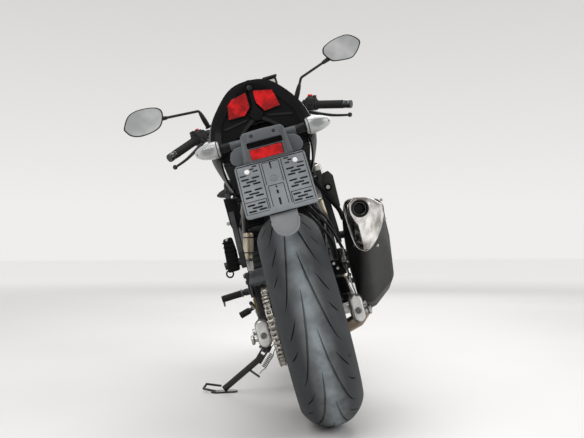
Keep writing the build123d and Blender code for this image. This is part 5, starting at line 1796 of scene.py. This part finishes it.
PILLION = (
    (236, [(0, 894), (62, 894), (84, 902), (74, 918), (0, 926)]),
    (222, [(0, 888), (70, 888), (97, 899), (85, 924), (0, 935)]),
    (80, [(0, 921), (80, 921), (107, 930), (95, 950), (0, 960)]),
    (-56, [(0, 940), (52, 940), (76, 947), (64, 966), (0, 976)]),
    (-68, [(0, 946), (40, 946), (58, 951), (50, 964), (0, 970)]),
)
RIDER_SEAM = (
    (0.060, 0.59), (0.074, 0.54), (0.092, 0.46), (0.1, 0.39), (0.1, 0.33), (0.084, 0.272)
)
PILLION_SEAM = ((0.07, 0.212), (0.084, 0.14), (0.084, 0.07), (0.07, 0.0), (0.052, -0.05))
COWL = (
    (-237, [(122, 798), (138, 828), (122, 890), (84, 943), (46, 973), (0, 981)]),
    (-110, [(130, 780), (151, 826), (139, 892), (101, 946), (55, 974), (0, 982)]),
    (60, [(132, 756), (158, 816), (152, 874), (116, 922), (60, 931), (0, 931)]),
    (300, [(122, 728), (143, 758), (157, 813), (157, 850), (126, 864), (0, 865)]),
)


def rounded_rows(stations, closed=True, along=5):
    """Rows of points rounded across and along the bike, from half outlines."""
    curve = smooth_loop if closed else smooth_line
    loops = [curve([mm(x, y, z) for x, z in both(half)], 4) for y, half in stations]
    return [list(row) for row in zip(*[smooth_line(line, along) for line in zip(*loops)])]


def evened(stations):
    """Half outlines brought to one count of points."""
    count = max(len(half) for y, half in stations)
    even = []
    for y, half in stations:
        half = list(half)
        while len(half) < count:
            gaps = [hypot(a[0] - b[0], a[1] - b[1]) for a, b in zip(half, half[1:])]
            at = gaps.index(max(gaps))
            a, b = half[at], half[at + 1]
            half.insert(at + 1, ((a[0] + b[0]) / 2, (a[1] + b[1]) / 2))
        even.append((y, half))
    return even


def puffed(piece, reach):
    """A foam pad: an even mesh, puffed by cloth pressure and held near its start."""
    modified(piece, "REMESH", mode="VOXEL", voxel_size=0.006)
    start = [vertex.co.copy() for vertex in piece.data.vertices]
    only(piece)
    cloth = piece.modifiers.new("Cloth", "CLOTH")
    cloth.settings.use_pressure = True
    cloth.settings.uniform_pressure_force = 4
    cloth.settings.effector_weights.gravity = 0
    for number in range(1, 21):
        bpy.context.scene.frame_set(number)
    bpy.ops.object.modifier_apply(modifier=cloth.name)
    bpy.context.scene.frame_set(1)
    for vertex, spot in zip(piece.data.vertices, start):
        move = vertex.co - spot
        if move.length > reach:
            vertex.co = spot + move.normalized() * reach
    modified(piece, "SMOOTH", factor=0.5, iterations=3)
    modified(piece, "SUBSURF", levels=1)
    return piece


def on_top(piece, x, y):
    """The point of a pad's cover straight above x, y."""
    hit, spot, *_ = piece.ray_cast(Vector((x, y, 1.3)), Vector((0, 0, -1)))
    if not hit:
        raise RuntimeError(f"no cover above {x:.3f}, {y:.3f}")
    return spot


def sewn(piece, line):
    """Piping along a line of the cover, with a row of stitches beside it."""
    spots = [on_top(piece, x, y) for x, y in line]
    parts = [tube([spot + mm(0, 0, 0.3) for spot in spots], 0.0016, 2)]
    path = smooth_line(spots, 5)
    for first, second in zip(path, path[1:]):
        shift = Vector((-0.005 if first.x > 0 else 0.005, 0, 0))
        a = on_top(piece, first.x + shift.x, first.y) + mm(0, 0, 0.4)
        b = on_top(
            piece, (first.x + second.x) / 2 + shift.x, (first.y + second.y) / 2
        ) + mm(0, 0, 0.4)
        parts.append(drum_between(a, b, 0.0006, 6))
    return parts


class BuildSeats(bpy.types.Operator):
    """Puffs the two seat pads and sews their covers"""

    bl_idname = "roadster.seats"
    bl_label = "Seats"

    def execute(self, context):
        for name, node, stations, line in (
            ("rider_pad", "rider_seat", RIDER, RIDER_SEAM),
            ("pillion_pad", "pillion_seat", PILLION, PILLION_SEAM),
        ):
            pad = sheet_of(rounded_rows(stations), closed=True, capped=True)
            puffed(pad, 0.005)
            seams = joined(sewn(pad, line) + sewn(pad, [(-x, y) for x, y in line]))
            finished(pad, name, "chassis", "seat_vinyl", [node], angle=60)
            finished(seams, f"{name}_seams", "chassis", "seam_thread")
        return {"FINISHED"}


class BuildBodywork(bpy.types.Operator):
    """Lofts the tank and the tail fairing, with the filler cap and the tray inside the tail"""

    bl_idname = "roadster.bodywork"
    bl_label = "Tank and tail"

    def execute(self, context):
        tank = sheet_of(rounded_rows(evened(TANK), along=6), closed=True, capped=True)
        finished(tank, "tank_shell", "chassis", "body_gloss", ["fuel_tank"], angle=40)
        up = Vector((0, -0.1, 1)).normalized()
        base = mm(0, 846, 998)
        lid = turned([
            (-0.004, 0.037), (0.002, 0.037), (0.004, 0.0355), (0.0045, 0.029), (0.0032, 0.028),
            (0.0032, 0.0265), (0.0065, 0.0255), (0.008, 0.022), (0.0085, 0.001)
        ], base, up, 56)
        weld(lid)
        parts = [lid]
        for index in range(6):
            angle = tau * index / 6
            spot = base + mm(32.5 * cos(angle), 32.5 * sin(angle), 4.2 + 3.25 * sin(angle))
            parts.append(socket_bolt(spot, up, 0.0052, 0.0018))
        flap = eased(block(base + up * 0.0092 + mm(0, 3, 0), (0.014, 0.026, 0.003)), 0.001, 2)
        parts.append(flap)
        finished(parts, "filler_cap", "chassis", "steel", ["fuel_cap"])
        cowl = sheet_of(rounded_rows(COWL, closed=False, along=7))
        weld(cowl)
        modified(cowl, "SOLIDIFY", thickness=0.006, offset=-1)
        finished(cowl, "tail_fairing", "chassis", "tail_gloss", ["tail_cowl"], angle=40)
        tray = [
            plate(both(
                [(0, 786), (60, 786), (116, 788), (124, 812), (118, 862), (60, 872), (0, 874)]
            ), -156, -150, 0.002, 1),
            slab([mm(-122, y, z) for y, z in (
                (-150, 784), (-150, 792), (60, 766), (300, 738), (300, 730), (60, 758)
            )], mm(244, 0, 0)),
        ]
        for side in (-1, 1):
            tray.append(slab([
                mm(side * 118, y, z)
                for y, z in ((-222, 800), (-150, 790), (-150, 868), (-222, 850))
            ], mm(side * 3, 0, 0)))
        finished(tray, "tail_tray", "chassis", "dark_plastic")
        ribs = []
        for side in (-1, 1):
            for low, high in ((806, 838), (880, 858)):
                line = [
                    (side * (150 + rise), y, z)
                    for rise, y, z in (
                        (-8, -150, high + 8), (4, -20, (low + high) / 2 + 10), (8, 110, low + 14),
                        (6, 240, low)
                    )
                ]
                ribs.append(hose(line, 0.0022, 3))
        finished(ribs, "fairing_creases", "chassis", "tail_gloss")
        return {"FINISHED"}


# Hangers, pegs, hoses and fittings round the rear wheel ------------------------------------
class BuildHangers(bpy.types.Operator):
    """Adds the hanger guards, hoses, castings and the brake fittings beside the wheel"""

    bl_idname = "roadster.hangers"
    bl_label = "Hangers and hoses"

    def execute(self, context):
        right = [
            (148, 692), (158, 727), (178, 731), (190, 713), (188, 614), (181, 603), (166, 640)
        ]
        left = [(-168, 732), (-130, 722), (-126, 664), (-156, 600), (-167, 645)]
        guard = plate(right, 198, 205, 0.003, 3)
        groove = plate(
            [(158, 706), (176, 706), (179, 640), (172, 634), (163, 668)], 196.6, 199, 0.0012, 1
        )
        finished([guard, groove], "hanger_guard_right", "chassis", "olive_plastic")
        dark = [
            plate(left, 246, 253, 0.003, 3),
            ring(mm(165, 196, 680), (0, 1, 0), 0.0095, 0.0032, 32, 10),
            hose([
                (130, 214, 712), (140, 206, 684), (168, 202, 628), (184, 200, 598), (184, 190, 570)
            ], 0.0075, 3),
            plate([
                (-199, 604), (-170, 606), (-166, 560), (-170, 498), (-208, 497), (-204, 560)
            ], 190, 224, 0.006, 3),
        ]
        for z in (592, 578, 564, 550, 536, 522, 508):
            dark.append(plate(round_box(34, 5, 2, (-187, z), 2), 186, 192, 0.0014, 1))
        dark.append(ring(mm(-204, 196, 494), (0.2, 1, 0), 0.011, 0.0026, 28, 8))
        finished(dark, "hanger_fittings", "chassis", "deep_plastic")
        bright = [
            socket_bolt(mm(165, 197, 680), (0, -1, 0), 0.014, 0.004),
            socket_bolt(mm(-172, 246, 650), (0, -1, 0), 0.012, 0.004),
            eased(drum_between(mm(152, 100, 474), mm(151, 98, 442), 0.0085, 24), 0.002, 2),
            drum_between(mm(152, 100, 476), mm(152, 100, 486), 0.0045, 16),
            drum_between(mm(151, 98, 442), mm(147, 60, 400), 0.003, 12),
            plate([(-149, 521), (-128, 516), (-134, 480), (-151, 486)], 296, 302, 0.002, 1),
            hose([(147, 60, 400), (147, 20, 372), (148, -10, 345)], 0.0022, 3),
            hose([(138, 60, 400), (137, 20, 372), (137, -10, 345)], 0.0022, 3),
        ]
        for spot in (mm(120, 56, 430), mm(112, 56, 446), mm(-187, 186, 600)):
            bright.append(socket_bolt(spot, (0, -1, 0), 0.009, 0.003))
        finished(bright, "rear_bright_fittings", "chassis", "steel")
        box = [
            plate([(104, 458), (130, 455), (144, 408), (106, 412)], 56, 84, 0.004, 2),
            plate([(106, 404), (132, 402), (140, 352), (112, 352)], 44, 60, 0.004, 2),
        ]
        for z in (396, 388, 380, 372, 364):
            box.append(ring(mm(124, 46, z), (0.15, 0, 1), 0.0105, 0.002, 24, 8))
        finished(box, "rear_brake_guide", "chassis", "deep_plastic")
        hoses = [
            hose([
                (88, 270, 650), (107, 190, 606), (123, 150, 581), (137, 130, 548), (147, 110, 508),
                (152, 100, 484)
            ], 0.0046, 3),
            hose([
                (84, 260, 622), (103, 160, 577), (120, 130, 541), (133, 110, 505), (128, 84, 458)
            ], 0.0046, 3),
            ring(mm(-128, 470, 596), (-24, 0, -92), 0.0188, 0.0022, 40, 8),
            ring(mm(-142, 470, 545), (-24, 0, -92), 0.0188, 0.0022, 40, 8),
            hose([(-128, 488, 596), (-120, 500, 590), (-104, 510, 584)], 0.004, 3),
            hose([
                (92, 280, 668), (116, 200, 618), (132, 160, 590), (143, 140, 560), (146, 126, 530)
            ], 0.0034, 3),
        ]
        finished(hoses, "rear_hoses", "chassis", "hose_rubber")
        route = [
            (91, 80, 331), (94, 130, 430), (118, 270, 520), (136, 380, 580), (147, 446, 590),
            (147, 446, 492.5)
        ]
        finished(
            hose(route, 0.004, 4), "rear_brake_line", "chassis", "hose_rubber", ["rear_brake_hose"]
        )
        covers = [
            plate([
                (-184, 838), (-162, 848), (-144, 840), (-138, 800), (-150, 784), (-178, 800)
            ], 858, 864, 0.0025, 2),
            plate([
                (162, 848), (184, 838), (185, 770), (176, 752), (150, 790), (146, 840)
            ], 858, 864, 0.0025, 2),
        ]
        finished(covers, "frame_infills", "chassis", "olive_plastic")
        casting = plate([
            (140, 672), (161, 671), (164, 624), (190, 568), (182, 548), (168, 574), (150, 600),
            (140, 640)
        ], 552, 590, 0.006, 3)
        can = turned(
            [
                (0, 0.001), (0, 0.012), (0.003, 0.0165), (0.01, 0.018), (0.014, 0.0172),
                (0.018, 0.018), (0.08, 0.018), (0.084, 0.0172), (0.088, 0.018), (0.093, 0.0155),
                (0.095, 0.001)
            ],
            mm(-125, 470, 614),
            (-24, 0, -92),
            40,
        )
        lug = plate([
            (158, 784), (180, 788), (183, 754), (182, 710), (178, 668), (158, 667), (154, 712)
        ], 480, 504, 0.006, 3)
        stay = eased(drum_between(mm(168, 500, 690), mm(168, 560, 668), 0.008, 20), 0.002, 2)
        fitting = turned(
            [
                (0, 0.001), (0, 0.0085), (0.006, 0.0105), (0.014, 0.0105), (0.016, 0.0085),
                (0.028, 0.0085), (0.03, 0.007), (0.038, 0.006), (0.038, 0.001)
            ],
            mm(150, 96, 442),
            (0.004, 0.004, 0.034),
            32,
        )
        finished([lug, stay, fitting], "silver_castings", "chassis", "mottled_alloy")
        finished([casting, can], "champagne_castings", "chassis", "champagne_alloy")
        return {"FINISHED"}


class BuildPegs(bpy.types.Operator):
    """Sleeves the footpegs and the pedal in ribbed rubber, with feeler pins"""

    bl_idname = "roadster.pegs"
    bl_label = "Footpegs"

    def execute(self, context):
        profile = [(0, 0.0098), (0, 0.0118)]
        for index in range(11):
            along = 0.003 + index * 0.0056
            profile += [
                (along, 0.0122), (along + 0.0034, 0.0122), (along + 0.004, 0.0108),
                (along + 0.005, 0.0108)
            ]
        profile += [(0.066, 0.012), (0.067, 0.0098)]
        start, end = Vector((0.204, 0.469, 0.4146)), Vector((0.271, 0.4621, 0.4121))
        rubber = turned(profile, start, end - start, 28)
        finished(mirrored(rubber), "peg_rubbers", "chassis", "grip_rubber")
        metal = [
            drum_between(mm(266, 462, 412), mm(268, 462, 386), 0.0042, 16, 0.003),
            eased(drum_between(mm(196, 470, 415), mm(203, 469, 414.7), 0.0135, 24), 0.0015, 1),
            hex_bolt(mm(173, 470, 415), (1, 0, 0), 0.017, 0.008),
            hex_bolt(mm(173, 484, 446), (1, 0, 0), 0.013, 0.006),
            hex_bolt(mm(173, 440, 470), (1, 0, 0), 0.013, 0.006),
            hex_bolt(mm(163, 205, 524), (1, 0, 0), 0.016, 0.007),
        ]
        finished(mirrored(joined(metal)), "peg_fittings", "chassis", "bolt_steel")
        pedal = [
            eased(drum_between(mm(-199, 640, 340), mm(-237, 640, 329.6), 0.0118, 24), 0.002, 2)
        ]
        for share in (0.15, 0.35, 0.55, 0.75, 0.9):
            pedal.append(ring(
                mm(-199 - 38 * share, 640, 340 - 10.4 * share), (-38, 0, -10.4), 0.0118, 0.0014,
                24, 6
            ))
        finished(pedal, "pedal_rubber", "chassis", "grip_rubber")
        return {"FINISHED"}


# Brake discs, wheel and engine details ----------------------------------------------------
def round_axle(axle, x, radius, angle):
    """A point at an angle round a wheel's axis."""
    return Vector((x, axle.y + radius * cos(angle), axle.z + radius * sin(angle)))


def brake_rotor(axle, x, inner, outer, holes):
    """A drilled friction ring on a wheel's axis."""
    half = 0.0024
    profile = [(-half, inner), (half, inner), (half, outer), (-half, outer), (-half, inner)]
    rotor = turned(profile, (x, axle.y, axle.z), (1, 0, 0), 96)
    drills = []
    for index in range(holes):
        for step, share in enumerate((0.2, 0.5, 0.8)):
            reach = inner + (outer - inner) * share
            spot = round_axle(axle, x, reach, tau * (index + step / 3) / holes)
            drills.append(drum(spot, (1, 0, 0), 0.0034, 0.012, 10))
    return cut(rotor, joined(drills))


def rotor_carrier(axle, x, bore, inner, arms):
    """A star carrier with a floating button at every arm."""
    corners = ((-0.28, bore + 0.012), (-0.13, inner - 0.004), (-0.1, inner + 0.004))
    points = []
    for index in range(arms):
        for share, radius in (*corners, *[(-share, radius) for share, radius in corners[::-1]]):
            points.append(round_axle(axle, x - 0.003, radius, tau * (index + share) / arms))
    star = eased(slab(points, (0.006, 0, 0)), 0.001, 1)
    cut(star, drum((x, axle.y, axle.z), (1, 0, 0), bore, 0.03, 48))
    buttons = []
    for index in range(arms):
        spot = round_axle(axle, x, inner, tau * index / arms)
        buttons.append(drum(spot, (1, 0, 0), 0.0055, 0.0085, 16))
    side = 1 if x > 0 else -1
    for index in range(arms):
        spot = round_axle(axle, x, bore + 0.008, tau * (index + 0.5) / arms)
        buttons.append(hex_bolt(spot + Vector((side * 0.002, 0, 0)), (side, 0, 0), 0.009, 0.006))
    return star, joined(buttons)


class BuildBrakes(bpy.types.Operator):
    """Drills the brake discs and fits their carriers"""

    bl_idname = "roadster.brakes"
    bl_label = "Brakes"

    def execute(self, context):
        rotor = brake_rotor(REAR_AXLE, 0.0625, 0.088, 0.12, 20)
        finished(rotor, "rear_rotor", "rear_wheel", "rear_disc_steel", ["rear_disc"])
        star, buttons = rotor_carrier(REAR_AXLE, 0.0628, 0.028, 0.089, 6)
        finished(star, "rear_rotor_carrier", "rear_wheel", "black_alloy")
        finished(buttons, "rear_rotor_buttons", "rear_wheel", "bolt_steel")
        pair = [brake_rotor(FRONT_AXLE, side * 0.0605, 0.121, 0.155, 26) for side in (-1, 1)]
        finished(pair, "front_rotors", "front_wheel", "front_disc_steel", ["front_discs"])
        pairs = [rotor_carrier(FRONT_AXLE, side * 0.0608, 0.024, 0.122, 6) for side in (-1, 1)]
        stars, studs = zip(*pairs)
        finished(stars, "front_rotor_carriers", "front_wheel", "black_alloy")
        finished(studs, "front_rotor_buttons", "front_wheel", "bolt_steel")
        return {"FINISHED"}


class BuildEngineTrim(bpy.types.Operator):
    """Bolts the engine covers down and turns their raised rings"""

    bl_idname = "roadster.engine_trim"
    bl_label = "Engine trim"

    def execute(self, context):
        bolts = []
        for side, y, z, radius in ((-1, 880, 335, 62), (1, 800, 335, 80)):
            for index in range(6):
                angle = radians(60 * index)
                spot = mm(side * 150, y + (radius + 2) * cos(angle), z + (radius + 2) * sin(angle))
                bolts.append(hex_bolt(spot, (side, 0, 0), 0.0125, 0.007))
            for index in range(5):
                angle = radians(72 * index + 18)
                spot = mm(
                    side * 176, y + radius * 0.72 * cos(angle), z + radius * 0.72 * sin(angle)
                )
                bolts.append(socket_bolt(spot, (side, 0, 0), 0.0085, 0.003))
        for y, z in ((612, 330), (650, 316), (744, 330), (748, 408), (668, 428), (612, 408)):
            bolts.append(hex_bolt(mm(-172, y, z), (-1, 0, 0), 0.0115, 0.0065))
        finished(bolts, "engine_bolts", "chassis", "steel")
        rings = []
        for side, y, z, radius in ((-1, 880, 335, 44), (1, 800, 335, 58)):
            rings.append(ring(mm(side * 176.5, y, z), (1, 0, 0), radius / 1000, 0.0016, 64, 8))
            rings.append(
                ring(mm(side * 187.5, y, z), (1, 0, 0), radius * 0.45 / 1000, 0.0014, 48, 8)
            )
        finished(rings, "cover_rings", "chassis", "bronze_cover")
        return {"FINISHED"}


# Front end details ------------------------------------------------------------------------
FORK_TRAIL = 0.104


def on_stem(x, ahead, up):
    """A point of the fork in millimetres: ahead of the steering axis, and up along it."""
    foot = FRONT_AXLE.y + FORK_TRAIL
    y = foot + ahead / 1000 * cos(RAKE) - up / 1000 * sin(RAKE)
    return Vector((x / 1000, y, ahead / 1000 * sin(RAKE) + up / 1000 * cos(RAKE)))


class BuildFront(bpy.types.Operator):
    """Bolts the front calipers and the fork's feet and clamps"""

    bl_idname = "roadster.front"
    bl_label = "Front end"

    def execute(self, context):
        legs = -FORK_TRAIL * 1000 * cos(RAKE) + FRONT_AXLE.z * 1000 * sin(RAKE)
        axle = FORK_TRAIL * 1000 * sin(RAKE) + FRONT_AXLE.z * 1000 * cos(RAKE)
        bolts = []
        for side in (-1, 1):
            for v, w in ((-140, 44), (-140, 92), (-108, 44), (-112, 104)):
                bolts.append(socket_bolt(
                    on_stem(side * 82.4, legs + v, axle + w), (side, 0, 0), 0.012, 0.004
                ))
            for v, w in ((-122, 56), (-122, 82)):
                bolts.append(ring(
                    on_stem(side * 82.6, legs + v, axle + w), (1, 0, 0), 0.0125, 0.0014, 32, 8
                ))
        finished(bolts, "front_caliper_bolts", "steering", "bolt_steel")
        wipers = []
        for side in (-1, 1):
            wipers.append(socket_bolt(on_stem(side * 134, legs, axle), (side, 0, 0), 0.02, 0.004))
            wipers.append(hex_bolt(
                on_stem(side * 103, legs - 24, 812), on_stem(0, -1, 0) - on_stem(0, 0, 0), 0.01,
                0.005
            ))
        finished(wipers, "fork_bolts", "steering", "bolt_steel")
        return {"FINISHED"}


# The panel and the run --------------------------------------------------------------------
STEPS = (
    PaintFrame,
    BuildTyres,
    BuildBracket,
    BuildTailLamps,
    BuildTailTrim,
    BuildMudguard,
    BuildRearSignals,
    BuildSilencer,
    BuildDrive,
    BuildStand,
    BuildControls,
    BuildMirrors,
    BuildBodywork,
    BuildSeats,
    BuildHangers,
    BuildPegs,
    BuildBrakes,
    BuildEngineTrim,
    BuildFront,
    BuildStudio,
)


class RoadsterPanel(bpy.types.Panel):
    """Lists the roadster's steps, sizes and colours"""

    bl_idname = "VIEW3D_PT_roadster"
    bl_label = "Roadster"
    bl_space_type = "VIEW_3D"
    bl_region_type = "UI"
    bl_category = "Roadster"

    def draw(self, context):
        layout = self.layout
        for step in STEPS:
            layout.operator(step.bl_idname)
        for group in (context.scene.roadster_sizes, context.scene.roadster_colours):
            for key in group.__annotations__:
                layout.prop(group, key)


CLASSES = (RoadsterColours, RoadsterSizes, *STEPS, RoadsterPanel)


def register():
    for item in CLASSES:
        bpy.utils.register_class(item)
    bpy.types.Scene.roadster_colours = bpy.props.PointerProperty(type=RoadsterColours)
    bpy.types.Scene.roadster_sizes = bpy.props.PointerProperty(type=RoadsterSizes)


def unregister():
    del bpy.types.Scene.roadster_sizes
    del bpy.types.Scene.roadster_colours
    for item in reversed(CLASSES):
        bpy.utils.unregister_class(item)


def main():
    """Runs every step in order, then takes the CAD and visual bounds."""
    register()
    for step in STEPS:
        family, name = step.bl_idname.split(".")
        getattr(getattr(bpy.ops, family), name)()
    clear_selection()
    boxes = {"cad": CAD_BOX, "visual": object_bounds()}
    plain = {name: [list(corner) for corner in box] for name, box in boxes.items()}


if __name__ == "__main__":
    main()
